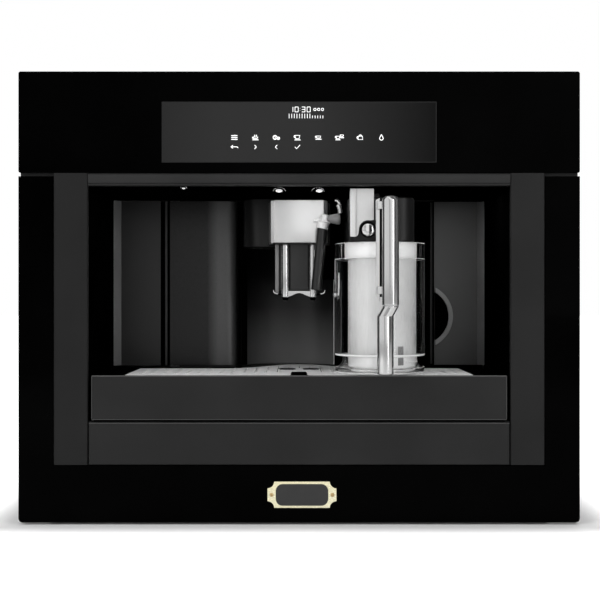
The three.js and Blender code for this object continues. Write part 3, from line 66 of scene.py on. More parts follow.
# Display and plate on the glass.
DISPLAY_HALF = 145.5
DISPLAY_LOW, DISPLAY_HIGH = 383.4, 447.8
ICON_PITCH = 22.24
ICON_FIRST = -68.6
ICON_ROWS = (409.9, 399.8)
TEXT_MIDDLE = 7.2
TEXT_ROWS = (439.6, 432.6)
PLATE_X, PLATE_Z = 3.0, 31.7
PLATE_HALF = (36.9, 14.3)

# Bay.
BAY_TOP = 358.6
BAY_FLOOR = 158.2
BAY_DEPTH = 173
BAY_HALF = 223.9
PANEL_TOP = 358.3
PANEL_RIGHT = -159.9
CORNER_WIDTH, CORNER_REACH = 7.2, 13.5
GROOVE_WIDTH, STRIP_WIDTH, GROOVE_DEEP = 4.0, 4.9, 5.0
TANK_X, TANK_HALF = 194.05, 29.75
TANK_LOW, TANK_TOP = 158.9, 357.0
TANK_GRIP_X, TANK_GRIP_Z = 147.6, 217.9
TANK_GRIP_INNER, TANK_GRIP_OUTER = 34.2, 39.5
LAMPS = ((-123.5, 13, 3.4, 0), (-21.3, 24, 6.9, -0.4), (20.2, 24, 6.9, 1.4))

# Cup grid.
GRID_TOP = 157.7
GRID_START, GRID_END, GRID_REACH = 12, 124, 207
GRID_HALF, GRID_BELL = 186, 82
SLOT_PITCH, SLOT_WIDTH = 12.3, 2.0
SLOT_FRONT, SLOT_BACK, SLOT_SHIFT = 17, 26, 37
CUP_MARK_X, CUP_MARK_D, CUP_MARK_RADIUS = 14, 106, 10

# Spout.
NOZZLE_X = 15.7
NOZZLE_D = 88
NOZZLE_RADIUS = 4.6
NOZZLE_LOW, NOZZLE_HIGH = 241.2, 301.6
LIP_HALF = 30
LIP_TOP = NOZZLE_LOW + 6.9

# Milk jug.
JUG_X, JUG_D = 89.2, 51.5
JUG_LOW = 158.0
JUG_RADIUS = 49.5
CUP_RADIUS = 38.7
COLLAR_LOW, COLLAR_TOP = 282.6, 299.8
LID_LOW, LID_FRONT, LID_HALF = 300.1, 15, 35.9
FASCIA_LEFT = 54.6
GRIP_X, GRIP_D, GRIP_RADIUS = 94.5, -27, 8.8
GRIP_TOP, GRIP_SPLIT = 346.3, 231.9
BUTTON_X, BUTTON_Z, BUTTON_RADIUS = 74.0, 313.3, 7.6
MILK_X, MILK_D, MILK_Z = 28, 60, 325.5
CAP_TILT = math.radians(12)
MILK_TILT = math.radians(5.6)
MILK_LENGTH = 69
MILK_TUBE = 6.0


def metres(x, d, z):
    return Vector((x, d - HALF_DEPTH, z)) * MM


# ---------------------------------------------------------------- outlines
def arc(cx, cy, radius, start, end, steps):
    """Points on a circle about (cx, cy), with the angles in degrees."""
    turns = [math.radians(start + (end - start) * i / steps) for i in range(steps + 1)]
    return [(cx + radius * math.cos(a), cy + radius * math.sin(a)) for a in turns]


def rounded(x0, y0, x1, y1, radius):
    return [
        *arc(x1 - radius, y0 + radius, radius, -90, 0, 8),
        *arc(x1 - radius, y1 - radius, radius, 0, 90, 8),
        *arc(x0 + radius, y1 - radius, radius, 90, 180, 8),
        *arc(x0 + radius, y0 + radius, radius, 180, 270, 8),
    ]


def box(x0, y0, x1, y1):
    return [(x0, y0), (x1, y0), (x1, y1), (x0, y1)]


def closed(outline):
    return [*outline, outline[0]]


def shifted(outline, x, y):
    return [(u + x, v + y) for u, v in outline]


def softened(profile, radius):
    """An open profile whose corners are rounded by up to that radius."""
    steps, most = 4, 0.45  # most of an edge that one corner takes
    points = [Vector(p) for p in profile]
    soft = [points[0]]
    for before, corner, after in zip(points, points[1:], points[2:]):
        reach = min(radius, (before - corner).length * most, (after - corner).length * most)
        start = corner + (before - corner).normalized() * reach
        end = corner + (after - corner).normalized() * reach
        for i in range(steps + 1):
            t = i / steps
            soft.append(start * (1 - t) ** 2 + corner * 2 * t * (1 - t) + end * t**2)
    soft.append(points[-1])
    return [tuple(p) for p in soft]


# ---------------------------------------------------------------- pieces
def placed(name, data):
    obj = bpy.data.objects.new(name, data)
    bpy.context.scene.collection.objects.link(obj)
    return obj


def piece(name, bm, finish, body, stands_for=(), bevel=0.0, crease=40):
    """Makes the mesh an object with its finish, its bevel and the body that it rides on."""
    bmesh.ops.remove_doubles(bm, verts=bm.verts, dist=1e-7)
    bmesh.ops.recalc_face_normals(bm, faces=bm.faces)
    mesh = bpy.data.meshes.new(name)
    bm.to_mesh(mesh)
    bm.free()
    mesh.shade_smooth()
    mesh.set_sharp_from_angle(angle=math.radians(crease))
    obj = placed(name, mesh)
    mesh.materials.append(FINISHES[finish])
    if bevel:
        soften_edges(obj, bevel)
    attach(obj, body)
    if stands_for:
        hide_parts(*stands_for)


def soften_edges(obj, width):
    edge = obj.modifiers.new("edges", "BEVEL")
    edge.width = width * MM
    edge.segments = 3
    edge.limit_method = "ANGLE"
    edge.angle_limit = math.radians(BEVEL_ANGLE)
    edge.harden_normals = True


def ring_faces(bm, rings):
    """Skins rings of vertices, where a ring of one vertex is a pole."""
    for low, high in zip(rings, rings[1:]):
        count = max(len(low), len(high))
        for i in range(count):
            j = (i + 1) % count
            corners = [low[i % len(low)], low[j % len(low)], high[j % len(high)], high[i % len(high)]]
            corners = list(dict.fromkeys(corners))
            if len(corners) > 2:
                bm.faces.new(corners)


def closed_faces(bm, rings):
    """Skins rings of vertices and closes both ends."""
    ring_faces(bm, rings)
    for end in (rings[0], rings[-1]):
        bm.faces.new(end)


def lathe(bm, profile, centre, axis="z", sides=64):
    """Turns a profile of (radius, place along the axis) about an axis through centre."""
    x, d, z = centre
    spots = {
        "z": lambda r, a, c, s: (x + r * c, d + r * s, a),
        "y": lambda r, a, c, s: (x + r * c, a, z + r * s),
        "x": lambda r, a, c, s: (a, d + r * c, z + r * s),
    }[axis]
    rings = []
    for radius, spot in profile:
        count = sides if radius > 1e-6 else 1
        turns = [2 * math.pi * i / count for i in range(count)]
        rings.append([
            bm.verts.new(metres(*spots(radius, spot, math.cos(t), math.sin(t)))) for t in turns
        ])
    ring_faces(bm, rings)


def prism(bm, outline, low, high, axis="y"):
    """Sweeps a closed outline: (x, z) along y, (d, z) along x, or (x, d) along z."""
    place = {
        "y": lambda u, v, a: (u, a, v),
        "x": lambda u, v, a: (a, u, v),
        "z": lambda u, v, a: (u, v, a),
    }[axis]
    ends = [[bm.verts.new(metres(*place(u, v, a))) for u, v in outline] for a in (low, high)]
    closed_faces(bm, ends)


def tube(bm, points, radius, sides):
    """A round bar along points in millimetres, closed at both ends."""
    path = [metres(*p) for p in points]
    rings = []
    side = Vector((0, 1, 0))
    for i, point in enumerate(path):
        along = (path[min(i + 1, len(path) - 1)] - path[max(i - 1, 0)]).normalized()
        across = along.cross(side).normalized()
        up = along.cross(across)
        rings.append([
            bm.verts.new(point + (across * math.cos(t) + up * math.sin(t)) * radius * MM)
            for t in (2 * math.pi * k / sides for k in range(sides))
        ])
    closed_faces(bm, rings)


def turned(name, profile, centre, finish, body, axis="z", soft=0.4, sides=64, **kwargs):
    bm = bmesh.new()
    lathe(bm, softened(profile, soft), centre, axis, sides)
    piece(name, bm, finish, body, **kwargs)


def swept(name, outline, low, high, finish, body, axis="y", **kwargs):
    bm = bmesh.new()
    prism(bm, outline, low, high, axis)
    piece(name, bm, finish, body, **kwargs)


def span(name):
    """Lowest and highest corner of a CAD node in mm: across, into the machine, up."""
    points = [v.co / MM for v in bpy.data.objects[name].data.vertices]
    low = [min(p[i] for p in points) for i in range(3)]
    high = [max(p[i] for p in points) for i in range(3)]
    low[1], high[1] = low[1] + HALF_DEPTH, high[1] + HALF_DEPTH
    return low, high


# ---------------------------------------------------------------- nodes
WHITE = (1, 1, 1, 1)


def feed(tree, target, inputs):
    """Gives a node's inputs their constants, or the outputs of other nodes that feed them."""
    for key, value in inputs.items():
        if isinstance(value, bpy.types.NodeSocket):
            tree.links.new(value, target.inputs[key])
        else:
            target.inputs[key].default_value = value


def node(tree, kind, inputs, output, **settings):
    """Adds a node with its settings and inputs, and returns one output of it."""
    made = tree.nodes.new(kind)
    for key, value in settings.items():
        setattr(made, key, value)
    feed(tree, made, inputs)
    return made.outputs[output]


def calculated(tree, operation, *values):
    return node(tree, "ShaderNodeMath", dict(enumerate(values)), "Value", operation=operation)


def one_axis(tree, vector, axis):
    return node(tree, "ShaderNodeSeparateXYZ", {"Vector": vector}, axis)


def own_place(tree):
    return node(tree, "ShaderNodeTexCoord", {}, "Object")


def ray(tree, kind):
    return node(tree, "ShaderNodeLightPath", {}, kind)


def seen_directly(tree):
    """1 for rays from the camera or through glass, 0 for the light on surfaces and mirrors."""
    return calculated(tree, "MAXIMUM", ray(tree, "Is Camera Ray"), ray(tree, "Is Transmission Ray"))


def noise(tree, scale, stretch):
    """Noise in the object's own space; stretch squeezes it along an axis for brushing."""
    place = node(tree, "ShaderNodeMapping", {"Vector": own_place(tree), "Scale": stretch}, "Vector")
    return node(tree, "ShaderNodeTexNoise", {"Vector": place, "Scale": scale, "Detail": 4}, "Fac")


def shade(tone):
    """Linear colour of a tone, which is an sRGB grey from 0 to 255 or a linear colour already."""
    if isinstance(tone, tuple):
        return tone
    s = tone / 255
    return (((s + 0.055) / 1.055) ** 2.4 if s > 0.04045 else s / 12.92,) * 3


def ramp(tree, factor, stops):
    """Colours along a factor, from (place, tone) stops."""
    made = tree.nodes.new("ShaderNodeValToRGB")
    elements = made.color_ramp.elements
    for i, (spot, tone) in enumerate((stops[0], stops[-1])):
        elements[i].position = spot
        elements[i].color = (*shade(tone), 1)
    for spot, tone in stops[1:-1]:
        elements.new(spot).color = (*shade(tone), 1)
    feed(tree, made, {"Fac": factor})
    return made.outputs["Color"]


# ---------------------------------------------------------------- finishes
def finish(name, stops, rough, patch=25, grain=1500, relief=0, stretch=(1, 1, 1), factor=None,
           **constants):
    """A finish whose colour, gloss and relief vary; factor makes what its colour follows."""
    material = bpy.data.materials.new(f"{name}_finish")
    material.use_nodes = True
    tree = material.node_tree
    fine = noise(tree, grain, stretch)
    colour = ramp(tree, factor(tree) if factor else noise(tree, patch, stretch), stops)
    gloss = {"Value": fine, "To Min": rough[0], "To Max": rough[1]}
    inputs = {
        "Base Color": colour,
        "Roughness": node(tree, "ShaderNodeMapRange", gloss, "Result"),
        **constants,
    }
    if relief:
        bump = {"Height": fine, "Strength": 1, "Distance": relief * MM}
        inputs["Normal"] = node(tree, "ShaderNodeBump", bump, "Normal")
    feed(tree, tree.nodes["Principled BSDF"], inputs)
    return material


def patches(dark, light):
    return ((0.3, dark), (0.7, light))


def graded(axis, start, end):
    """What the colour follows on a surface whose tone changes between two places in mm."""
    def factor(tree):
        place = one_axis(tree, own_place(tree), axis)
        between = {"Value": place, "From Min": start * MM, "From Max": end * MM}
        return node(tree, "ShaderNodeMapRange", between, "Result")
    return factor


def crystals(tree):
    """Zinc crystals, each with its own share of grey."""
    cells = {"Vector": own_place(tree), "Scale": 230}
    colour = node(tree, "ShaderNodeTexVoronoi", cells, "Color")
    return node(tree, "ShaderNodeSeparateColor", {"Color": colour}, "Red")


SHINE, METAL, CLEAR = "Specular IOR Level", "Metallic", "Transmission Weight"
GLOW, GLOW_COLOUR = "Emission Strength", "Emission Color"
# Each finish: the record's slot, its darkest and lightest tone, its lowest and highest roughness,
# the scales of its patches and its grain, its relief in mm, and constants of the shader. A row may
# leave out the last three: the grain is 1500 then, with no relief and no constants.
EVEN_FINISHES = {
    "black_glass": ("black_glass", 0, 2, 0.03, 0.06, 12, 1500, 0, {SHINE: 0.02}),
    "enamel": ("black_glass", 40, 46, 0.12, 0.2, 40),
    "satin_grey": ("satin_grey", 34, 40, 0.36, 0.5, 14, 2600, 0.03, {SHINE: 0.16}),
    # Painted shade and light: the pillars take a darker and the top bar a lighter copy of the satin
    # grey, for how the light falls on them.
    "pillar_painted_shade": ("satin_grey", 28, 33, 0.36, 0.5, 14, 2600, 0.03, {SHINE: 0.16}),
    "bar_painted_light": ("satin_grey", 40, 48, 0.36, 0.5, 14, 2600, 0.03, {SHINE: 0.16}),
    # Painted highlights: lighter greys for strips along the edges of the front.
    "edge_painted_highlight": ("satin_grey", 66, 74, 0.3, 0.4, 40),
    "seam_painted_highlight": ("satin_grey", 92, 102, 0.3, 0.4, 40),
    "column_grey": ("satin_grey", 112, 120, 0.3, 0.4, 40),
    "bay_plastic": ("bay_plastic", 22, 27, 0.26, 0.34, 10, 1800, 0.05, {SHINE: 0.35}),
    "back_grey": ("bay_plastic", 30, 35, 0.26, 0.34, 10, 1800, 0.05, {SHINE: 0.4}),
    "bay_black": ("bay_plastic", 0, 2, 0.3, 0.42, 10, 1800, 0.03, {SHINE: 0}),
    # Painted highlight: a light grey for the bevelled corners of the bay's back wall and tank.
    "corner_painted_highlight": ("bay_plastic", 102, 112, 0.3, 0.4, 20, 1800, 0.04, {SHINE: 0.3}),
    "tank_grey": ("bay_plastic", 72, 78, 0.3, 0.4, 10, 1800, 0.05, {SHINE: 0.4}),
    "rim_grey": ("bay_plastic", 132, 140, 0.3, 0.4, 30, 1800, 0.03, {SHINE: 0.4}),
    "dark_plastic": ("dark_plastic", 26, 32, 0.34, 0.46, 20, 1800, 0.04),
    "lid_plastic": ("dark_plastic", 20, 24, 0.3, 0.4, 20, 1800, 0.03, {SHINE: 0.3}),
    "tube_rubber": ("dark_plastic", 20, 26, 0.26, 0.36, 30, 900, 0.02),
    "chrome_metal": ("chrome_metal", 222, 232, 0.05, 0.11, 40, 900, 0, {METAL: 1}),
    "satin_chrome": ("chrome_metal", 214, 222, 0.1, 0.15, 40, 1400, 0, {METAL: 0.92}),
    "brass": ("chrome_metal", (1, 0.93, 0.62), (1, 0.96, 0.69), 0.2, 0.32, 60, 2400, 0.01,
              {METAL: 0.35}),
    "old_brass": ("chrome_metal", (0.56, 0.4, 0.18), (0.64, 0.47, 0.24), 0.3, 0.4, 120, 2400, 0,
                  {METAL: 0.5}),
    "silver_paint": ("silver_paint", 226, 234, 0.22, 0.3, 30, 3200, 0.02, {METAL: 0.4}),
    "cover_silver": ("silver_paint", 232, 240, 0.1, 0.16, 30, 3200, 0.01, {METAL: 0.65}),
    "brushed_steel_grid": ("brushed_steel_grid", 226, 246, 0.34, 0.52, 300, 1500, 0.03, {METAL: 0.1}),
    "cast_aluminium": ("cast_aluminium", 150, 178, 0.42, 0.6, 90, 700, 0.12, {METAL: 0.85}),
    "lamp_lens": ("lamp_lens", 232, 244, 0.12, 0.2, 90),
    "lit": ("lamp_lens", 225, 250, 0.4, 0.5, 400, 1500, 0, {GLOW_COLOUR: WHITE, GLOW: 0.75}),
    "lens_lit": ("lamp_lens", 225, 250, 0.4, 0.5, 400, 1500, 0, {GLOW_COLOUR: WHITE, GLOW: 0.5}),
    "milky_plastic": ("milky_plastic", 234, 243, 0.24, 0.32, 30, 900, 0.01),
    "milky_wall": ("milky_plastic", 196, 208, 0.24, 0.32, 22, 900, 0.01),
    "clear_plastic": ("clear_plastic", 240, 250, 0, 0.03, 20, 300, 0, {CLEAR: 1, "IOR": 1.22}),
    "frosted_plastic": ("clear_plastic", 206, 240, 0.3, 0.5, 240, 500, 0.1,
                        {CLEAR: 0.35, "IOR": 1.46}),
    # Painted light: white plastic for the jug's floor and heel rings and the cup's base, standing in
    # for light through the clear foot.
    "painted_light_plastic": ("clear_plastic", 244, 252, 0.1, 0.2, 40, 900, 0.01),
    "milk_arm_grey": ("clear_plastic", 120, 150, 0.08, 0.16, 60, 900, 0, {CLEAR: 0.35, "IOR": 1.46}),
    "float_plastic": ("float_plastic", 6, 10, 0.36, 0.48, 60, 1800, 0.03, {SHINE: 0.1}),
}
# How brushed and drawn finishes stretch their grain.
GRAIN_STRETCH = {
    "satin_chrome": (1, 1, 0.05), "milky_wall": (1, 1, 0.12), "brass": (0.15, 1, 1),
    "brushed_steel_grid": (0.05, 1, 1),
}
FINISHES = {
    # Painted reflection and shade: the window's colour is graded across it, lighter at the left and
    # middle, dark at the right end.
    "display_glass": finish(
        "display_glass", ((0, 42), (0.2, 48), (0.55, 48), (0.85, 32), (1, 18)), (0.2, 0.26),
        factor=graded("X", -DISPLAY_HALF, DISPLAY_HALF), **{SHINE: 0.05},
    ),
    # Painted highlight: the door's colour brightens to a band near its rounded right edge and falls to
    # black beyond it.
    "door_painted_highlight": finish(
        "door_painted_highlight", ((0, 18), (0.3, 20), (0.52, 80), (0.76, 80), (0.9, 12), (1, 0)), (0.24, 0.32),
        grain=1800, relief=0.05, factor=graded("X", -130, -70), **{SHINE: 0.35},
    ),
    # Painted shade and light: the recess is near black at the top, under the spout's housing, and grows
    # lighter towards its foot.
    "recess_painted_shade": finish(
        "recess_painted_shade", ((0, 4), (0.35, 32), (0.7, 82), (1, 104)), (0.26, 0.34),
        grain=1800, relief=0.05, factor=graded("Z", 270, 150), **{SHINE: 0.25},
    ),
    "galvanised_sheet": finish(
        "galvanised_sheet", ((0, 156), (0.5, 164), (1, 174)), (0.34, 0.46), factor=crystals,
        **{METAL: 0.85},
    ),
}


def even_finish(name, slot, dark, light, low, high, patch, grain=1500, relief=0, constants={}):
    FINISHES[name] = finish(name, patches(dark, light), (low, high), patch, grain, relief,
                            GRAIN_STRETCH.get(name, (1, 1, 1)), **constants)


for look, row in EVEN_FINISHES.items():
    even_finish(look, *row)
# CAD nodes that take such a variant.
VARIANTS = {
    "cavity_liner": "bay_black", "steam_panel": "bay_black", "drip_tray": "bay_black",
    "milk_lid": "lid_plastic", "tank_front": "tank_grey", "service_door": "door_painted_highlight",
    "recess_panel": "recess_painted_shade", "left_pillar": "pillar_painted_shade", "right_pillar": "pillar_painted_shade",
    "top_bar": "bar_painted_light",
}


def smooth_group():
    """Joins the facets of a CAD node and shades them smoothly up to an angle."""
    group = bpy.data.node_groups.new("smooth_facets", "GeometryNodeTree")
    for way in ("INPUT", "OUTPUT"):
        group.interface.new_socket("Geometry", in_out=way, socket_type="NodeSocketGeometry")

    def step(kind, shape, inputs=(), **settings):
        inputs = {"Geometry": shape, **dict(inputs)}
        return node(group, f"GeometryNode{kind}", inputs, "Geometry", **settings)

    angle = node(group, "GeometryNodeInputMeshEdgeAngle", {}, "Unsigned Angle")
    flat_enough = node(group, "FunctionNodeCompare", {0: angle, 1: math.radians(FACET_ANGLE)}, "Result",
                       operation="LESS_THAN")
    shape = step("MergeByDistance", node(group, "NodeGroupInput", {}, 0), {"Distance": 1e-6})
    shape = step("RemoveAttribute", shape, {"Name": "custom_normal"})
    shape = step("SetShadeSmooth", shape)
    shape = step("SetShadeSmooth", shape, {"Shade Smooth": flat_enough}, domain="EDGE")
    feed(group, group.nodes.new("NodeGroupOutput"), {0: shape})
    return group


def dress_nodes():
    smooth = smooth_group()
    for name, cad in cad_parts.items():
        for slot in cad.material_slots:
            slot.material = FINISHES[VARIANTS.get(name, slot.material.name)]
        cad.modifiers.new("facets", "NODES").node_group = smooth
        weights = cad.modifiers.new("flats", "WEIGHTED_NORMAL")
        weights.keep_sharp = True


dress_nodes()


# ---------------------------------------------------------------- display
def strokes(name, lines, radius):
    """Lines of light on the window, each a list of (x, z)."""
    depth = -0.1
    curve = bpy.data.curves.new(name, "CURVE")
    curve.dimensions = "3D"
    curve.bevel_depth = radius * MM
    curve.bevel_resolution = 2
    curve.use_fill_caps = True
    for line in lines:
        spline = curve.splines.new("POLY")
        spline.points.add(len(line) - 1)
        for point, (x, z) in zip(spline.points, line):
            point.co = (*metres(x, depth, z), 1)
    obj = placed(name, curve)
    curve.materials.append(FINISHES["lit"])
    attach(obj, "machine")


def moved(lines, x, z):
    return [shifted(line, x, z) for line in lines]


def seven_segments(digit):
    """The strokes of a digit in seven segments, about its middle."""
    w, h = 1.7, 2.6
    bars = {
        "a": [(-w, h), (w, h)], "b": [(w, h), (w, 0)], "c": [(w, 0), (w, -h)],
        "d": [(-w, -h), (w, -h)], "e": [(-w, -h), (-w, 0)], "f": [(-w, 0), (-w, h)],
        "g": [(-w, 0), (w, 0)],
    }
    return [bars[bar] for bar in {0: "abcdef", 1: "bc", 3: "abgcd"}[digit]]


def cup(half, height, handle=True):
    """A cup on a saucer with its handle on the left."""
    top = height / 2
    low = -height / 2 + 0.9
    shape = [
        [(-half, top), (half, top), (half * 0.7, low), (-half * 0.7, low), (-half, top)],
        [(-half * 1.2, -height / 2 - 0.4), (half * 1.3, -height / 2 - 0.4)],
    ]
    if handle:
        shape.append(arc(-half, top - height * 0.3, height * 0.22, 90, 270, 6))
    return shape


def make_display():
    width = 0.8
    bm = bmesh.new()
    x0, x1, z0, z1 = -DISPLAY_HALF, DISPLAY_HALF, DISPLAY_LOW, DISPLAY_HIGH
    for corners in (
        (x0, z0, x1, z0 + width), (x0, z1 - width, x1, z1),
        (x0, z0 + width, x0 + width, z1 - width), (x1 - width, z0 + width, x1, z1 - width),
    ):
        prism(bm, box(*corners), -0.05, 0.4)
    piece("display_edge", bm, "satin_grey", "machine")

    clock = []  # 10:30, three rings and a row of bars
    for digit, place in zip((1, 0, 3, 0), (-15.5, -9.9, -2.7, 2.9)):
        clock += moved(seven_segments(digit), TEXT_MIDDLE + place, TEXT_ROWS[0])
    for z in (-1.2, 1.2):
        clock += moved([[(-0.2, z), (0.2, z)]], TEXT_MIDDLE - 6.3, TEXT_ROWS[0])
    for i in range(3):
        clock += moved([arc(0, 0, 1.3, 0, 360, 12)], TEXT_MIDDLE + 9.5 + i * 4, TEXT_ROWS[0])
    for i in range(14):
        rise = 2.4 if i < 9 else 0.5
        clock += moved([[(0, -2.4), (0, rise)]], TEXT_MIDDLE - 17.8 + i * 2.75, TEXT_ROWS[1])
    strokes("display_clock", clock, 0.33)

    steam = [[(-0.9, 1.2), (-0.5, 2.0), (-0.9, 2.8)], [(0.9, 1.2), (1.3, 2.0), (0.9, 2.8)]]
    sliders = [[(-3.4, z), (3.4, z)] for z in (-2, 0, 2)]
    sliders += [[(x, z - 0.8), (x, z + 0.8)] for x, z in ((1.6, -2), (-1.6, 0), (0.6, 2))]
    bean = [arc(-1.4, 0, 2.1, 0, 360, 14), [(-1.9, 1.9), (-1.1, 0), (-1.7, -1.9)],
            arc(2.2, -0.9, 1.3, 0, 360, 12), [(2.0, 0.2), (2.4, -0.9), (2.0, -2.0)]]
    pot = [[(-2.1, 1.4), (2.1, 1.4), (2.5, -2.2), (-2.5, -2.2), (-2.1, 1.4)],
           arc(0, 1.4, 1.3, 0, 180, 8), arc(-2.6, -0.2, 1.1, 90, 270, 6)]
    drop = [[(0, 3.1), (1.2, 0.9), *arc(0, -0.9, 1.9, 10, -190, 12), (-1.2, 0.9), (0, 3.1)]]
    pair = [*moved(cup(2.1, 3.4), -1.6, -0.4), *moved(cup(1.8, 2.6, False), 2.6, 1.4)]
    first_row = [sliders, [*moved(cup(2.6, 2.6), 0, -0.8), *steam], bean, cup(2.6, 4.4),
                 cup(2.6, 3.0), pair, pot, drop]
    back = [[(-1.6, 1.9), (-3.6, 0.2), (-1.6, -1.5)],
            [(-3.4, 0.2), (2.4, 0.2), *arc(2.4, -1.2, 1.4, 90, 0, 5)]]
    onward, backward = ([[(-0.9 * s, 2.1), (1.1 * s, 0), (-0.9 * s, -2.1)]] for s in (1, -1))
    second_row = [back, onward, backward, [[(-2.6, 0.1), (-0.8, -1.9), (2.8, 2.2)]]]
    icons = []
    for z, row in zip(ICON_ROWS, (first_row, second_row)):
        for i, shape in enumerate(row):
            icons += moved(shape, ICON_FIRST + ICON_PITCH * i, z)
    strokes("display_icons", icons, 0.42)


# ---------------------------------------------------------------- plate on the bottom glass
def plate_outline(grow):
    """A plate whose corners are cut by hollow arcs."""
    half_x, half_z = PLATE_HALF[0] + grow, PLATE_HALF[1] + grow
    notch, step = 7.0, 0.7
    outline = []
    for sx, sz, start in ((1, 1, 270), (-1, 1, 0), (-1, -1, 90), (1, -1, 180)):
        cx, cz = PLATE_X + sx * half_x, PLATE_Z + sz * half_z
        curve = arc(cx, cz, notch, start, start - 90, 8)
        first = (cx, cz - sz * (notch + step)) if sx * sz > 0 else (cx - sx * (notch + step), cz)
        last = (cx - sx * (notch + step), cz) if sx * sz > 0 else (cx, cz - sz * (notch + step))
        outline += [first, *curve, last]
    return outline


def make_plate():
    swept("plate_base", plate_outline(-0.4), -1.3, 0.1, "brass", "machine", bevel=0.35)
    rim = rounded(PLATE_X - 28.6, PLATE_Z - 12.3, PLATE_X + 28.6, PLATE_Z + 12.3, 8.2)
    swept("plate_rim", rim, -1.55, -1.2, "brass", "machine", bevel=0.15)
    field = rounded(PLATE_X - 27.8, PLATE_Z - 11.5, PLATE_X + 27.8, PLATE_Z + 11.5, 7.4)
    swept("plate_field", field, -1.7, -1.2, "enamel", "machine", bevel=0.1)
    for i, side in enumerate((-1, 1)):
        screw(f"plate_screw_{i + 1}", (PLATE_X + side * 32.2, -1.3, PLATE_Z), 2.1, "old_brass")


def screw(name, centre, radius, finish_name, axis="y", out=-1):
    """A domed screw head with a round socket, standing out of a face along the axis."""
    bm = bmesh.new()
    x, d, z = centre
    base = {"x": x, "y": d, "z": z}[axis]
    rise = radius * 0.45 * out
    dome = [(radius, base - 0.05 * out), (radius, base + rise * 0.3), (radius * 0.8, base + rise * 0.8),
            (radius * 0.4, base + rise)]
    floor = [(radius * 0.38, base + rise * 0.5), (0, base + rise * 0.5)]
    lathe(bm, [*dome, *floor], centre, axis, 24)
    piece(name, bm, finish_name, "machine")


# ---------------------------------------------------------------- bay
def make_lamps():
    """A bright lens in a dark ball, under an arched chrome bezel that leans forward."""
    for i, (x, d, radius, shift) in enumerate(LAMPS):
        low = BAY_TOP - radius * 0.72
        ball = [(0, low + 0.4), (radius * 0.5, low + 0.9), (radius * 0.8, low + radius * 0.3),
                (radius * 0.9, BAY_TOP - 0.1), (0, BAY_TOP - 0.1)]
        turned(f"lamp_ball_{i + 1}", ball, (x, d, 0), "bay_black", "machine", soft=1.2, sides=48,
               stands_for=["cup_light_bar"] if i == 0 else ())
        bm = bmesh.new()
        for start, end in ((8, 62), (70, 108), (118, 172)):
            bezel = [
                (x + radius * math.cos(a), d - radius * 0.8 * math.sin(a),
                 low + 1.2 + radius * 0.58 * math.sin(a))
                for a in (math.radians(v) for v in range(start, end + 1, 6))
            ]
            tube(bm, bezel, 0.42, 12)
        piece(f"lamp_bezel_{i + 1}", bm, "chrome_metal", "machine")
        lens = [(0, low), (radius * 0.34, low + 0.5), (radius * 0.56, low + radius * 0.22),
                (radius * 0.5, low + radius * 0.44), (0, low + radius * 0.6)]
        turned(f"lamp_lens_{i + 1}", lens, (x + shift, d - radius * 0.5, 1.0), "lens_lit",
               "machine", soft=0.8, sides=40)


def make_back_left():
    """Left field of the back wall, its bevelled corner, lighter as a painted highlight, and the
    groove beside the door, lined black as painted shade.
    """
    left, crease = -BAY_HALF, -BAY_HALF + CORNER_WIDTH
    strip = PANEL_RIGHT - STRIP_WIDTH
    groove = strip - GROOVE_WIDTH
    back = BAY_DEPTH + 2
    swept("back_field", box(crease, BAY_DEPTH, groove, back), BAY_FLOOR, PANEL_TOP, "back_grey",
          "machine", "z", stands_for=["left_back_panel"])
    corner = [(crease, BAY_DEPTH), (crease, back), (left, back), (left, BAY_DEPTH - CORNER_REACH)]
    swept("back_corner", corner, BAY_FLOOR, PANEL_TOP, "corner_painted_highlight", "machine", "z", bevel=0.8)
    floor = BAY_DEPTH + GROOVE_DEEP
    front = BAY_DEPTH + 1.5
    lining = [
        (groove, BAY_DEPTH + 0.1), (groove + 0.2, floor), (strip, floor), (strip, front),
        (PANEL_RIGHT, front), (PANEL_RIGHT, front + 0.6), (PANEL_RIGHT + 2.6, front + 0.6),
        (PANEL_RIGHT + 2.6, floor + 1), (groove, floor + 1),
    ]
    # Painted shade: the groove is lined black.
    swept("back_groove_painted_shade", lining, BAY_FLOOR, PANEL_TOP, "bay_black", "machine", "z")
    rib = [(strip + 0.9, front + 0.2), (strip + 1.4, front - 0.3), (PANEL_RIGHT - 1.2, front - 0.3),
           (PANEL_RIGHT - 0.7, front + 0.2)]
    swept("back_rib", rib, BAY_FLOOR, PANEL_TOP, "dark_plastic", "machine", "z", bevel=0.15)


def make_recess_edge():
    """Silver strip where the spout's recess meets the black panel, a painted highlight along that
    edge, and the recess's return.
    """
    left, right, top = 41.75, 42.55, 264
    edge = box(left, BAY_DEPTH - 0.7, right, BAY_DEPTH + 1)
    swept("recess_painted_highlight", edge, BAY_FLOOR + 1, top, "silver_paint", "machine", "z", bevel=0.15)
    swept("recess_return", box(-75, BAY_DEPTH + 14, -64, BAY_DEPTH + 15), BAY_FLOOR, PANEL_TOP,
          "bay_black", "machine", "z")


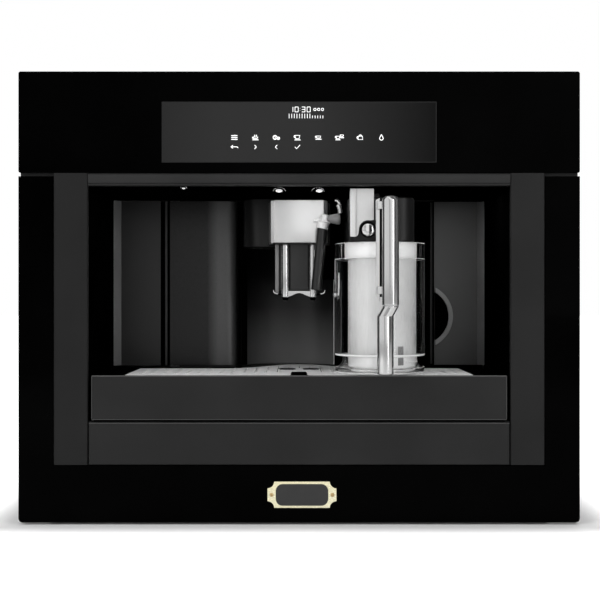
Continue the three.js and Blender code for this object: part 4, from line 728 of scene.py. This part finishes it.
def make_tank_front():
    """The bevelled corner, lighter as a painted highlight, the finger grip's rim and its dark
    inside, and the rib beside them.
    """
    right = TANK_X + TANK_HALF - 0.1
    crease = right - CORNER_WIDTH
    corner = [(crease, BAY_DEPTH - 0.1), (right, BAY_DEPTH - CORNER_REACH + 2.5),
              (right, BAY_DEPTH + 1), (crease, BAY_DEPTH + 1)]
    swept("tank_corner", corner, TANK_LOW, TANK_TOP, "corner_painted_highlight", "water_tank", "z", bevel=0.6)

    def limit(radius):
        return math.degrees(math.acos((TANK_X - TANK_HALF + 1.4 - TANK_GRIP_X) / radius))

    outer, inner = limit(TANK_GRIP_OUTER), limit(TANK_GRIP_INNER)
    rim = [*arc(TANK_GRIP_X, TANK_GRIP_Z, TANK_GRIP_OUTER, -outer, outer, 32),
           *arc(TANK_GRIP_X, TANK_GRIP_Z, TANK_GRIP_INNER, inner, -inner, 32)]
    swept("tank_grip_rim", rim, BAY_DEPTH - 1.9, BAY_DEPTH + 0.5, "rim_grey", "water_tank",
          bevel=0.5)
    hole = arc(TANK_GRIP_X, TANK_GRIP_Z, TANK_GRIP_INNER - 0.1, -inner, inner, 32)
    swept("tank_grip_hole", hole, BAY_DEPTH + 0.6, BAY_DEPTH + 1.2, "bay_black", "water_tank")
    rib = shifted([(159.2, -1.6), (159.8, -2.1), (161.6, -2.1), (162.4, -1.6)], 0, BAY_DEPTH)
    swept("tank_rib", rib, BAY_FLOOR + 2, PANEL_TOP - 2, "bay_plastic", "machine", "z", bevel=0.2)
    swept("tank_lintel", box(163.5, BAY_DEPTH - 1, BAY_HALF, BAY_DEPTH), TANK_TOP + 0.2,
          BAY_TOP - 0.1, "bay_black", "machine", "z")


# ---------------------------------------------------------------- cup grid
def make_grid_lips():
    """Raised lips along the slots of the cup grid, and rings where cups stand, made dark as painted
    shade.
    """
    bm = bmesh.new()
    count = math.floor((GRID_HALF - 6) / SLOT_PITCH)
    lip, rise = 0.75, 0.75
    for i in range(-count, count + 1):
        x = i * SLOT_PITCH
        swell = (1 + math.cos(math.pi * x / GRID_BELL)) / 2 if abs(x) < GRID_BELL else 0
        central = abs(x) < CUP_MARK_X + CUP_MARK_RADIUS
        start = CUP_MARK_D + CUP_MARK_RADIUS + 12 if central else (
            GRID_START + SLOT_FRONT + SLOT_SHIFT * swell)
        end = GRID_END - SLOT_BACK + (GRID_REACH - GRID_END) * swell
        for side in (-1, 1):
            near = x + side * (SLOT_WIDTH / 2 - 0.6)
            far = near + side * 2 * lip
            section = [(near, GRID_TOP - 0.2), (near, GRID_TOP + rise * 0.6),
                       ((near + far) / 2, GRID_TOP + rise), (far, GRID_TOP + rise * 0.4),
                       (far, GRID_TOP - 0.2)]
            prism(bm, section, start - 0.5, end + 0.5)
    piece("grid_lips", bm, "brushed_steel_grid", "drip_tray")
    ring = shifted([(-1.6, -0.7), (-1.5, 0.9), (-0.7, 1.2), (-0.1, 0.7), (0, -0.7)],
                   CUP_MARK_RADIUS, GRID_TOP)
    for i, side in enumerate((-1, 1)):
        turned(f"grid_cup_ring_painted_shade_{i + 1}", ring, (side * CUP_MARK_X, CUP_MARK_D, 0),
               "dark_plastic", "drip_tray", soft=0.3, sides=48)


# ---------------------------------------------------------------- spout
def make_spout_outlets():
    """Two chrome outlets, the arched plate between them and its upturned ends."""
    bm = bmesh.new()
    for side in (-1, 1):
        outlet = softened([
            (NOZZLE_RADIUS - 1.2, NOZZLE_HIGH), (NOZZLE_RADIUS, NOZZLE_HIGH),
            (NOZZLE_RADIUS, NOZZLE_LOW), (NOZZLE_RADIUS - 1.1, NOZZLE_LOW),
            (NOZZLE_RADIUS - 1.2, NOZZLE_HIGH),
        ], 0.6)
        lathe(bm, outlet, (side * NOZZLE_X, NOZZLE_D, 0), "z", 64)
    half = NOZZLE_X - NOZZLE_RADIUS * 0.5
    arch = [(half * k / 10, NOZZLE_LOW + 0.4 + 4.0 * math.cos(math.pi / 2 * k / 10) ** 2)
            for k in range(-10, 11)]
    prism(bm, [*arch, (half, LIP_TOP), (-half, LIP_TOP)], NOZZLE_D - 3.4, NOZZLE_D + 2)
    for side in (-1, 1):
        hook = [(side * (LIP_HALF - 0.2), LIP_TOP + 0.4), (side * (LIP_HALF - 0.8), LIP_TOP - 2.0),
                (side * (LIP_HALF - 2.6), LIP_TOP - 3.4), (side * (LIP_HALF - 5.6), LIP_TOP - 3.9)]
        inner = [(x - side * 0.9, z + 1.1) for x, z in hook]
        outline = [*hook, *reversed(inner)]
        prism(bm, outline, NOZZLE_D - 4, NOZZLE_D + 20)
    piece("spout_outlets", bm, "satin_chrome", "spout", ["spout_manifold"], bevel=0.3)
    for i, side in enumerate((-1, 1)):
        tray = [(side * (NOZZLE_X + NOZZLE_RADIUS - 0.6), LIP_TOP - 4.6),
                (side * (LIP_HALF - 3), LIP_TOP - 4.4), (side * (LIP_HALF - 3), LIP_TOP - 3.2),
                (side * (NOZZLE_X + NOZZLE_RADIUS - 0.6), LIP_TOP - 3.2)]
        swept(f"spout_lip_{i + 1}", tray, NOZZLE_D - 2, NOZZLE_D + 24, "bay_black", "spout",
              bevel=0.2)
        tip = shifted([(0, -4.2), (2.4, -4.2), (3.9, -0.2), (0, -0.1)], 0, NOZZLE_LOW)
        turned(f"spout_tip_{i + 1}", tip, (side * NOZZLE_X, NOZZLE_D, 0), "bay_black", "spout",
               soft=0.5, sides=32)
    column = box(-27.4, NOZZLE_D + 3, -23.2, NOZZLE_D + 11)
    swept("spout_column", column, LIP_TOP - 3, NOZZLE_HIGH, "column_grey", "spout", "z", bevel=0.6)


def make_housing_painted_shade():
    """Painted shade: a black sheet on the housing, right of the cover."""
    housing = bpy.data.objects["spout_housing"].data.vertices
    front = min(v.co.y for v in housing) / MM + HALF_DEPTH
    left, bottom, right = 27.9, 262, 41.6
    swept("housing_painted_shade", box(left, bottom, right, PANEL_TOP), front - 0.4, front + 0.4,
          "bay_black", "machine", bevel=0.2)


def make_cover_face():
    """Slightly crowned front of the spout's silver cover."""
    half, low, high = 27.4, 302.7, 350.1
    front, rise, steps = 72, 1.3, 20
    bm = bmesh.new()
    rows = []
    for j in range(steps + 1):
        v = 2 * j / steps - 1
        row = []
        for i in range(steps + 1):
            u = 2 * i / steps - 1
            crown = rise * (1 - u * u) * (1 - min(v, 0) ** 2 * 0.6)
            place = metres(half * u, front - 0.1 - crown, low + (high - low) * j / steps)
            row.append(bm.verts.new(place))
        rows.append(row)
    for lower, upper in zip(rows, rows[1:]):
        for i in range(steps):
            bm.faces.new((lower[i], lower[i + 1], upper[i + 1], upper[i]))
    border = [*rows[0], *(row[-1] for row in rows[1:]), *rows[-1][-2::-1],
              *(row[0] for row in rows[-2:0:-1])]
    back = [bm.verts.new(Vector((v.co.x, metres(0, front + 0.2, 0).y, v.co.z))) for v in border]
    ring_faces(bm, [border, back])
    bm.faces.new(back)
    piece("cover_face", bm, "cover_silver", "spout", bevel=0.2, crease=50)


# ---------------------------------------------------------------- milk jug
def make_jug():
    """Clear outer wall on a flared foot, the milky cup in it and the suction tube."""

    def ring(name, profile, look, soft, x=JUG_X, stands_for=()):
        turned(name, profile, (x, JUG_D, 0), look, "milk_jug", soft=soft, sides=128,
               stands_for=stands_for)

    floor, wall, skin = JUG_LOW + 20.7, 2.2, 1.8
    bore = CUP_RADIUS + 0.5
    flare, flare_top = JUG_RADIUS - bore - skin, JUG_LOW + 15
    heel = math.degrees(math.acos(3 / (flare + skin)))
    ring("jug_outer_shell", closed([
        (JUG_RADIUS, floor + 0.4), (JUG_RADIUS, COLLAR_TOP), (CUP_RADIUS + 2.3, COLLAR_TOP),
        (CUP_RADIUS + 2.3, COLLAR_LOW), (JUG_RADIUS - wall, COLLAR_LOW),
        (JUG_RADIUS - wall, floor + 0.4),
    ]), "clear_plastic", 0.5, stands_for=["jug_shell"])
    ring("jug_foot", closed([
        (JUG_RADIUS - 3, JUG_LOW), (JUG_RADIUS, JUG_LOW),
        *arc(JUG_RADIUS, flare_top, flare, 270, 180, 10), (JUG_RADIUS - flare, floor - 2.4),
        (JUG_RADIUS - 1, floor - 1.6), (JUG_RADIUS, floor), (bore, floor + 0.3),
        *arc(JUG_RADIUS, flare_top, flare + skin, 180, 180 + heel, 10),
    ]), "clear_plastic", 0.3)
    # The floor and heel rings are white as painted highlights on the clear foot.
    for name, inner, low, high, look in (
        ("floor", CUP_RADIUS + 0.4, floor - 1.6, floor + 0.5, "painted_light_plastic"),
        ("heel", JUG_RADIUS - 6.5, JUG_LOW, JUG_LOW + 1.8, "painted_light_plastic"),
        ("collar_low", JUG_RADIUS - 0.7, COLLAR_LOW - 0.4, COLLAR_LOW + 0.4, "frosted_plastic"),
        ("collar_top", JUG_RADIUS - 0.7, COLLAR_TOP - 0.8, COLLAR_TOP, "frosted_plastic"),
    ):
        ring(f"jug_{name}_ring", closed([
            (inner, low), (JUG_RADIUS - 0.3, low), (JUG_RADIUS, low + 0.3),
            (JUG_RADIUS, high - 0.3), (JUG_RADIUS - 0.3, high), (inner, high),
        ]), look, 0.2)
    # Painted glint: a chrome wire with a knob, and a second wire, at the shell's left edge stand in for
    # a glint on the clear wall.
    glint_x = JUG_X - JUG_RADIUS + 0.3
    bm = bmesh.new()
    tube(bm, [(glint_x, JUG_D, COLLAR_LOW), (glint_x, JUG_D, 262), (glint_x + 0.4, JUG_D, 246)], 0.8, 12)
    knob = [(0, 240.4), (1.6, 241), (2.9, 243.4), (2.6, 245.6), (0, 247)]
    lathe(bm, softened(knob, 0.8), (glint_x + 0.2, JUG_D, 0), sides=24)
    tube(bm, [(glint_x + 3.6, JUG_D, 243), (glint_x + 4.2, JUG_D, 252), (glint_x + 4, JUG_D, 268)],
         0.9, 12)
    piece("jug_painted_glint", bm, "satin_chrome", "milk_jug")

    # The cup stands a little to the right of the shell's middle, as the photograph shows it.
    low, base, corner = JUG_LOW + 0.7, floor - 1.6, 8
    radius, flange, cup_x = CUP_RADIUS - 1.1, CUP_RADIUS + 1.1, JUG_X + 2.4
    inner = radius - wall
    # Painted light: the cup's base is white, standing in for light shining through it.
    ring("jug_cup_base", [
        (0, low), *arc(radius - corner, low + corner, corner, 270, 360, 8),
        (radius + 0.3, base), (inner, base),
        *arc(radius - corner, low + corner, corner - wall, 360, 270, 8), (0, low + wall),
    ], "painted_light_plastic", 0.8, cup_x)
    ring("jug_inner_cup", closed(box(inner, base, radius, COLLAR_LOW + 0.3)), "milky_wall", 0.8,
         cup_x, ["jug_cup"])
    # Painted shade: grey patches on the cup's outside stand in for the suction tube showing through the
    # wall.
    tip = arc(0, 0, radius + 0.6, -67.5, -57.5, 8)
    seen = [(cup_x + x, JUG_D + y) for x, y in
            tip + [(x * 0.985, y * 0.985) for x, y in reversed(tip)]]
    for i, (low, high) in enumerate(((9, 17.5), (21, 30))):
        swept(f"suction_tube_painted_shade_{i + 1}", seen, JUG_LOW + low, JUG_LOW + high, "column_grey",
              "milk_jug", "z", bevel=0.1)
    ring("jug_cup_collar", closed(box(inner, COLLAR_LOW + 0.3, flange, COLLAR_TOP - 0.3)),
         "milky_plastic", 0.4, JUG_X + 0.9)
    turned("suction_tube", closed(box(2, JUG_LOW + 7.7, 3.25, COLLAR_TOP - 7.1)),
           (JUG_X + 24, JUG_D, 0), "dark_plastic", "milk_jug", sides=32,
           stands_for=["milk_intake_tube"])


def make_handle():
    """Two chrome bars, offset from each other, whose ends meet in a slanting elbow."""
    face = LID_FRONT - 0.3
    bm = bmesh.new()
    bar = [(0, GRIP_SPLIT), (GRIP_RADIUS - 0.4, GRIP_SPLIT), (GRIP_RADIUS, GRIP_SPLIT + 1),
           (GRIP_RADIUS, GRIP_TOP - 5), (GRIP_RADIUS - 2.4, GRIP_TOP - 1.4), (0, GRIP_TOP)]
    lathe(bm, softened(bar, 1.2), (GRIP_X, GRIP_D, 0))
    arm = [(GRIP_D, GRIP_TOP - 16), (face - 6, GRIP_TOP - 16), (face, GRIP_TOP - 19),
           (face, GRIP_TOP - 1), (face - 6, GRIP_TOP - 3), (GRIP_D, GRIP_TOP - 3)]
    prism(bm, arm, GRIP_X - 6, GRIP_X + 6, "x")
    strip = GRIP_X - GRIP_RADIUS - 5.6
    taper = [(strip, GRIP_SPLIT + 12), (strip + 4.2, GRIP_SPLIT + 4), (strip + 4.2, GRIP_TOP - 2),
             (strip, GRIP_TOP - 4)]
    prism(bm, taper, GRIP_D + 9, GRIP_D + 15)
    for z in (GRIP_SPLIT + 12, GRIP_TOP - 14):
        prism(bm, box(strip + 1, z, GRIP_X, z + 8), GRIP_D + 3, GRIP_D + 11)
    piece("handle_upper", bm, "satin_chrome", "milk_jug", ["lid_handle"], bevel=0.5)
    # Painted shade: the gap between the strip and the bar is a black sheet.
    slit = box(strip + 4.3, GRIP_SPLIT + 9, GRIP_X - GRIP_RADIUS + 0.6, GRIP_TOP - 4)
    swept("handle_slit_painted_shade", slit, GRIP_D + 8.6, GRIP_D + 14, "bay_black", "milk_jug", bevel=0.1)
    holes = ((GRIP_TOP - 6, 1.1), (GRIP_TOP - 11, 0.8), (GRIP_TOP - 15.5, 0.6))
    for i, (z, radius) in enumerate(holes):
        turned(f"handle_hole_{i + 1}", [(radius, GRIP_D + 8.9), (radius, GRIP_D + 9.2),
                                        (0, GRIP_D + 9.1)],
               (strip + 1.8, 0, z), "bay_black", "milk_jug", "y", soft=0.1, sides=20)

    radius = GRIP_RADIUS - 0.25
    low, neck = JUG_LOW + 2.7, GRIP_SPLIT - 10.6
    shell_front = JUG_D - JUG_RADIUS - 0.3
    bm = bmesh.new()
    lathe(bm, softened([(0, low), (radius - 1, low), (radius, low + 1), (radius, neck), (0, neck)],
                       0.8), (JUG_X, GRIP_D, 0))
    shear = [(JUG_X, neck - 0.5), (GRIP_X, GRIP_SPLIT - 1.2)]
    ends = [
        [bm.verts.new(metres(x + radius * math.cos(a), GRIP_D + radius * math.sin(a), z))
         for a in (2 * math.pi * k / 16 for k in range(16))]
        for x, z in shear
    ]
    closed_faces(bm, ends)
    cap = box(0, GRIP_SPLIT - 2, radius, GRIP_SPLIT - 0.3)
    lathe(bm, softened(cap, 0.6), (GRIP_X, GRIP_D, 0))
    for z0, z1 in ((low, low + 10), (neck - 7.3, neck + 2.7)):
        prism(bm, box(GRIP_D, z0, shell_front, z1), JUG_X - 6, JUG_X + 6, "x")
    piece("handle_lower", bm, "satin_chrome", "milk_jug", ["jug_handle"], bevel=0.3, crease=14)


def make_fascia():
    """Silver plate over the lid's left front, with a round-ended leg beside the button."""
    left, right = FASCIA_LEFT, JUG_X - 9.1
    leg, low, top = left + 9.1, LID_LOW + 5.3, BAY_TOP - 1.3
    back = LID_FRONT - 0.4
    waist = [v for v in arc(BUTTON_X, BUTTON_Z, BUTTON_RADIUS + 2.3, 82, 180, 16) if v[0] > leg]
    end = arc((left + leg) / 2, low + 4.5, 4.55, 360, 180, 12)
    outline = [(left, top), (right, top), (right, BUTTON_Z + 10.2), *waist, *end]
    swept("fascia_plate", outline, back - 1.7, back, "silver_paint", "milk_jug", bevel=0.4,
          stands_for=["lid_fascia"])
    side = box(left, back - 0.2, left + 1.7, LID_FRONT + 12)
    swept("fascia_side", side, BAY_TOP - 24, BAY_TOP - 3, "silver_paint", "milk_jug", "z",
          bevel=0.3)


def make_fascia_fold():
    """Left side of the silver plate, which folds back a little, behind a shallow crease."""
    left, crease = FASCIA_LEFT, 61.4
    front = LID_FRONT - 2.9
    plan = [(left, front + 1.9), (left + 0.3, front + 0.7), (left + 1.4, front + 0.1),
            (crease - 1.2, front - 0.9), (crease - 0.2, front - 0.4), (crease, front + 0.95),
            (left, front + 2.2)]
    swept("fascia_fold", plan, LID_LOW + 5.6, BAY_TOP - 1.6, "silver_paint", "milk_jug", "z",
          bevel=0.2)


def make_button():
    face = LID_FRONT - 1.6
    dome = [(0, face - 0.1), (BUTTON_RADIUS - 4, face), (BUTTON_RADIUS - 1.6, face + 0.7),
            (BUTTON_RADIUS - 0.3, face + 1.9), (BUTTON_RADIUS, face + 3.2),
            (BUTTON_RADIUS, LID_FRONT + 6.4), (0, LID_FRONT + 6.4)]
    turned("clean_button_cap", dome, (BUTTON_X, 0, BUTTON_Z), "chrome_metal", "clean_button",
           "y", soft=0.9, stands_for=["clean_button"])
    reach = math.degrees(math.asin(4.8 / 6.6))
    crescent = [*arc(BUTTON_X - 3.4, BUTTON_Z, 6.6, -reach, reach, 10),
                *arc(BUTTON_X - 9.2, BUTTON_Z, 11.5, reach / 1.9, -reach / 1.9, 10)]
    swept("clean_button_mark", crescent, face - 0.2, face + 2, "dark_plastic", "clean_button",
          bevel=0.1)
    gap = box(BUTTON_RADIUS + 0.1, LID_FRONT - 0.4, BUTTON_RADIUS + 0.9, LID_FRONT + 0.4)
    turned("clean_button_gap", gap, (BUTTON_X, 0, BUTTON_Z), "bay_black", "milk_jug", "y",
           soft=0.1)


def tilted(bm, pivot, angle):
    """Leans what bm holds by an angle about a line through the pivot, along the depth."""
    turn = Matrix.Rotation(angle, 4, "Y")
    bmesh.ops.rotate(bm, verts=bm.verts, cent=metres(*pivot), matrix=turn)


def make_milk_spout():
    """Grey arm from the lid, chrome cap on it, and the black tube that hangs from the cap."""
    root = JUG_X - LID_HALF - 0.3
    arm = [(0, MILK_X + 1), (2.8, MILK_X + 1), (4.2, MILK_X + 3), (4.3, MILK_X + 5),
           (5.6, MILK_X + 11), (6.4, 43.4), (5.6, 45.6), (3, 46.2), (0, 46.2)]
    middle = (0, MILK_D, MILK_Z + 2.6)
    turned("milk_arm_neck", box(0, 45.9, 2.8, root), middle, "bay_black", "milk_jug", "x")
    turned("milk_arm", arm, middle, "milk_arm_grey", "milk_jug", "x", soft=1.0,
           stands_for=["milk_outlet_arm"])
    bm = bmesh.new()
    for path, radius in (
        (((45.6, 334), (45.4, 338.5), (44.2, 342), (42.8, 343.8)), 2.5),
        (((45.6, 341), (44.6, 345.6), (42.4, 348.4), (39.6, 348.9)), 1.9),
    ):
        tube(bm, [(x, MILK_D - 4, z) for x, z in path], radius, 20)
    piece("milk_arm_clip", bm, "satin_chrome", "milk_jug", bevel=0.2)

    top, low = MILK_Z + 7.7, MILK_Z - 8.6
    pivot = (MILK_X, MILK_D, MILK_Z + 2)
    bm = bmesh.new()
    cap = [(0, low + 1.1), (5.4, low + 1.1), (5.4, low), (6.2, low), (6.4, MILK_Z - 2),
           (7.4, MILK_Z - 1.2), (7.4, MILK_Z + 0.2), (4.9, MILK_Z + 0.9), (4.7, top - 1.2),
           (3.9, top), (0, top)]
    lathe(bm, softened(cap, 0.5), (MILK_X, MILK_D, 0))
    ear = shifted([(-11, -2.4), (-5, -1.4), (-5, 1.6), (-7.5, 1.2), (-9, -0.4), (-11.4, -0.8)],
                  MILK_X, MILK_Z)
    prism(bm, ear, MILK_D - 2.4, MILK_D + 1.5)
    tilted(bm, pivot, CAP_TILT)
    piece("milk_cap", bm, "silver_paint", "milk_spout", ["milk_spout_cap"], bevel=0.2)

    bore = MILK_TUBE - 3
    bottom = MILK_Z - 8 - MILK_LENGTH
    wall = [(0, MILK_Z - 8), (MILK_TUBE, MILK_Z - 8), (MILK_TUBE, bottom + 0.8),
            (MILK_TUBE - 0.8, bottom), (bore, bottom), (bore, bottom + 18), (0, bottom + 18)]
    bm = bmesh.new()
    lathe(bm, softened(wall, 0.6), (MILK_X - 2.2, MILK_D, 0), sides=48)
    tilted(bm, (MILK_X - 2.2, MILK_D, MILK_Z - 8), MILK_TILT)
    piece("milk_tube", bm, "tube_rubber", "milk_spout", ["milk_spout_tube"])


# ---------------------------------------------------------------- small fittings
def make_front_seams():
    """Painted highlights: lighter strips where chamfers would catch the light round the tray's front
    and along the panel under it.
    """
    low, high = span("tray_front")
    face = low[1]
    left, bottom, right, top = low[0] + 0.2, low[2] + 0.2, high[0] - 0.2, high[2]
    strips = (
        ("top", (left, top - 0.8, right, top - 0.1), "seam_painted_highlight"),
        ("bottom", (left, bottom, right, bottom + 0.6), "edge_painted_highlight"),
        ("left", (left, bottom, left + 0.6, top), "edge_painted_highlight"),
        ("right", (right - 0.6, bottom, right, top), "edge_painted_highlight"),
    )
    for name, corners, look in strips:
        swept(f"tray_painted_highlight_{name}", box(*corners), face - 0.12, face + 0.2, look, "drip_tray")
    low, high = span("lower_panel")
    edge = box(low[0] + 0.2, high[2] - 0.8, high[0] - 0.2, high[2] - 0.1)
    swept("lower_panel_painted_highlight", edge, low[1] - 0.12, low[1] + 0.2, "edge_painted_highlight", "machine")
    top = span("level_float")[1][2]
    cap = [(-8.8, top - 1), (8.4, top - 1), (8.4, 159.6), (7.2, 160.8), (-7.6, 160.8),
           (-8.8, 159.6)]
    swept("level_float_cap", cap, 9, 17, "bay_black", "level_float", bevel=0.4)


def make_case_fittings():
    """Screws of the case, pins of the inlet, grip on the lid over the beans."""
    radius, inset = 3.2, 9
    low, high = span("top_panel")
    places = [(x, d) for x in (low[0] + inset, 0, high[0] - inset) for d in (75, high[1] - inset)]
    for i, (x, d) in enumerate(places):
        screw(f"top_screw_{i + 1}", (x, d, high[2]), radius, "chrome_metal", "z", 1)
    for side, name in ((-1, "left_side_panel"), (1, "right_side_panel")):
        low, high = span(name)
        face = low[0] if side < 0 else high[0]
        for i, (d, z) in enumerate(((70, high[2] - 12), (high[1] - 10, high[2] - 12),
                                    (high[1] - 10, 220), (70, 220))):
            screw(f"{name}_screw_{i + 1}", (face, d, z), radius, "chrome_metal", "x", side)
    right = span("right_side_panel")[1][0]
    back = span("back_panel")[1][1]
    inlet_x, inlet_z = right - 69, 42
    for i, (x, z) in enumerate(((-5.5, -2.5), (5.5, -2.5), (0, 3))):
        pin = [(0, back - 15), (1.8, back - 15), (1.8, back - 5), (1.1, back - 4), (0, back - 4)]
        turned(f"inlet_pin_{i + 1}", pin, (inlet_x + x, 0, inlet_z + z), "chrome_metal", "machine",
               "y", soft=0.3, sides=24)
    low, high = span("bean_lid")
    middle = (low[0] + high[0]) / 2
    grip = shifted([(-22, 6), (22, 6), (20, 11), (-20, 11)], middle, low[1])
    swept("bean_lid_grip", grip, high[2] - 0.5, high[2] + 3, "dark_plastic", "bean_lid", "z",
          bevel=0.8)


# ---------------------------------------------------------------- studio
FLOOR_SIZE = 30
FLOOR_GAP = 0.0002
# Metres from the machine at which the floor begins to be seen as white, and is all white; nearer,
# its white glow fades out as a painted shadow round the machine's foot.
FADE_START, FADE_END = 0.006, 0.08
# Brightness of the studio as polished surfaces mirror it, by the direction in degrees to the
# right of straight ahead. The panels lean to the side with their height.
AMBIENT = 0.42
STUDIO = (
    (-180, 0.8), (-125, 0.7), (-85, 0.66), (-22, 0.6), (-12, 0.26), (-5, 0.34), (1, 0.72),
    (20, 0.74), (28, 0.98), (40, 0.98), (50, 0.3), (58, 0.04), (80, 0.04), (95, 0.2),
    (125, 0.24), (150, 0.6), (180, 0.8),
)
STUDIO_GAIN = 1.25
STUDIO_LEAN = 0.4
# Softboxes: place, target, width, height and power.
MIDDLE = (0, -0.1, 0.24)
SOFTBOXES = {
    "key": ((-1.5, -1.4, 0.9), MIDDLE, 1.2, 2.0, 19),
    "fill": ((1.35, -1.5, 0.8), MIDDLE, 1.2, 2.0, 6),
    "strip": ((0.95, -1.45, 0.6), MIDDLE, 0.14, 1.6, 3),
    "top": ((0, -0.3, 2.2), MIDDLE, 2.0, 1.4, 13),
    "rear": ((0.6, 2.0, 1.3), MIDDLE, 1.6, 1.2, 13),
}
# Lamps in the bay's ceiling: x and d in mm, width, length and power.
BAY_LAMPS = {
    "bay_light": (0, 32, 0.4, 0.012, 0.1),
    "left_lamp": (-125, 62, 0.17, 0.03, 0.075),
    "right_lamp": (178, 62, 0.08, 0.03, 0.08),
}
CAMERA_PLACE = (0.0009, -1.349, 0.2378)
CAMERA_LENS = 65.16


def make_floor():
    """Pale floor seen as white, as the photograph's is, but for the machine's shadow: real shade,
    deepened by a painted shadow where the floor's white glow fades out near the machine.
    """
    bpy.ops.mesh.primitive_grid_add(x_subdivisions=8, y_subdivisions=8, size=FLOOR_SIZE)
    floor = bpy.context.object
    floor.name = "studio_floor"
    floor.location.z = cad_box[0].z - FLOOR_GAP
    material = finish("floor", patches((0.86,) * 3, (0.88,) * 3), (0.75, 0.85), patch=3, grain=40,
                      **{SHINE: 0.1})
    tree = material.node_tree
    size = (cad_box[1].x, cad_box[1].y, 0)
    away = node(tree, "ShaderNodeVectorMath", {0: own_place(tree)}, "Vector", operation="ABSOLUTE")
    past = node(tree, "ShaderNodeVectorMath", {0: away, 1: size}, "Vector", operation="SUBTRACT")
    farther = calculated(tree, "MAXIMUM", one_axis(tree, past, "X"), one_axis(tree, past, "Y"))
    between = {"Value": farther, "From Min": FADE_START, "From Max": FADE_END}
    white = node(tree, "ShaderNodeMapRange", between, "Result", interpolation_type="SMOOTHSTEP")
    shine = calculated(tree, "MULTIPLY", seen_directly(tree), white)
    feed(tree, tree.nodes["Principled BSDF"], {GLOW_COLOUR: WHITE, GLOW: shine})
    floor.data.materials.append(material)


def make_world():
    """White behind the machine, even ambient light, and panels for polished surfaces."""
    world = bpy.data.worlds.new("studio")
    bpy.context.scene.world = world
    world.use_nodes = True
    tree = world.node_tree
    place = node(tree, "ShaderNodeTexCoord", {}, "Generated")
    ahead = calculated(tree, "MULTIPLY", one_axis(tree, place, "Y"), -1)
    aside = calculated(tree, "MULTIPLY_ADD", one_axis(tree, place, "Z"), STUDIO_LEAN,
                       one_axis(tree, place, "X"))
    turn = calculated(tree, "ARCTAN2", aside, ahead)
    whole = {"Value": turn, "From Min": -math.pi, "From Max": math.pi}
    share = node(tree, "ShaderNodeMapRange", whole, "Result")
    panels = ramp(tree, share, [(angle / 360 + 0.5, (level,) * 3) for angle, level in STUDIO])

    def mixed(factor, first, second):
        colours = {"Factor": factor, "A": first, "B": second}
        return node(tree, "ShaderNodeMix", colours, "Result", data_type="RGBA")

    ambient = (*(AMBIENT / STUDIO_GAIN,) * 3, 1)
    white = (*(1 / STUDIO_GAIN,) * 3, 1)
    around = mixed(ray(tree, "Is Glossy Ray"), ambient, panels)
    colour = mixed(seen_directly(tree), around, white)
    feed(tree, tree.nodes["Background"], {"Color": colour, "Strength": STUDIO_GAIN})


def softbox(name, place, target, width, height, power):
    light = bpy.data.lights.new(name, "AREA")
    light.shape = "RECTANGLE"
    light.size, light.size_y = width, height
    light.energy = power
    lamp = placed(name, light)
    lamp.location = place
    lamp.rotation_euler = (Vector(target) - Vector(place)).to_track_quat("-Z", "Y").to_euler()
    lamp.visible_camera = False
    lamp.visible_glossy = False
    return lamp


def make_lights():
    for name, sizes in SOFTBOXES.items():
        softbox(name, *sizes).visible_glossy = name == "strip"
    for name, (x, d, *sizes) in BAY_LAMPS.items():
        place = metres(x, d, BAY_TOP - 3)
        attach(softbox(name, place, place - Vector((0, 0, 1)), *sizes), "machine")


def make_camera():
    """Square on, at the height of the bay's middle, with the photograph's angle of view."""
    camera = bpy.data.cameras.new("camera")
    camera.sensor_width = 36
    camera.lens = CAMERA_LENS
    camera.clip_start = 0.05
    eye = placed("camera", camera)
    eye.location = CAMERA_PLACE
    eye.rotation_euler = (math.radians(90), 0, 0)
    bpy.context.scene.camera = eye


for make in (
    make_display, make_plate, make_lamps, make_back_left, make_recess_edge, make_tank_front,
    make_grid_lips, make_spout_outlets, make_housing_painted_shade, make_cover_face, make_jug, make_handle,
    make_fascia, make_fascia_fold, make_button, make_milk_spout,
):
    make()
for name, width in {
    "spout_cover": 0.5, "lid_fascia": 0.35, "froth_cursor": 0.35, "milk_lid": 0.5,
    "spout_block": 0.4, "bean_lid": 0.6, "funnel_flap": 0.5, "grind_knob": 0.4,
}.items():
    soften_edges(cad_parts[name], width)
for make in (
    make_front_seams, make_case_fittings, make_floor, make_world, make_lights, make_camera,
):
    make()
bpy.context.scene.view_settings.view_transform = "Standard"
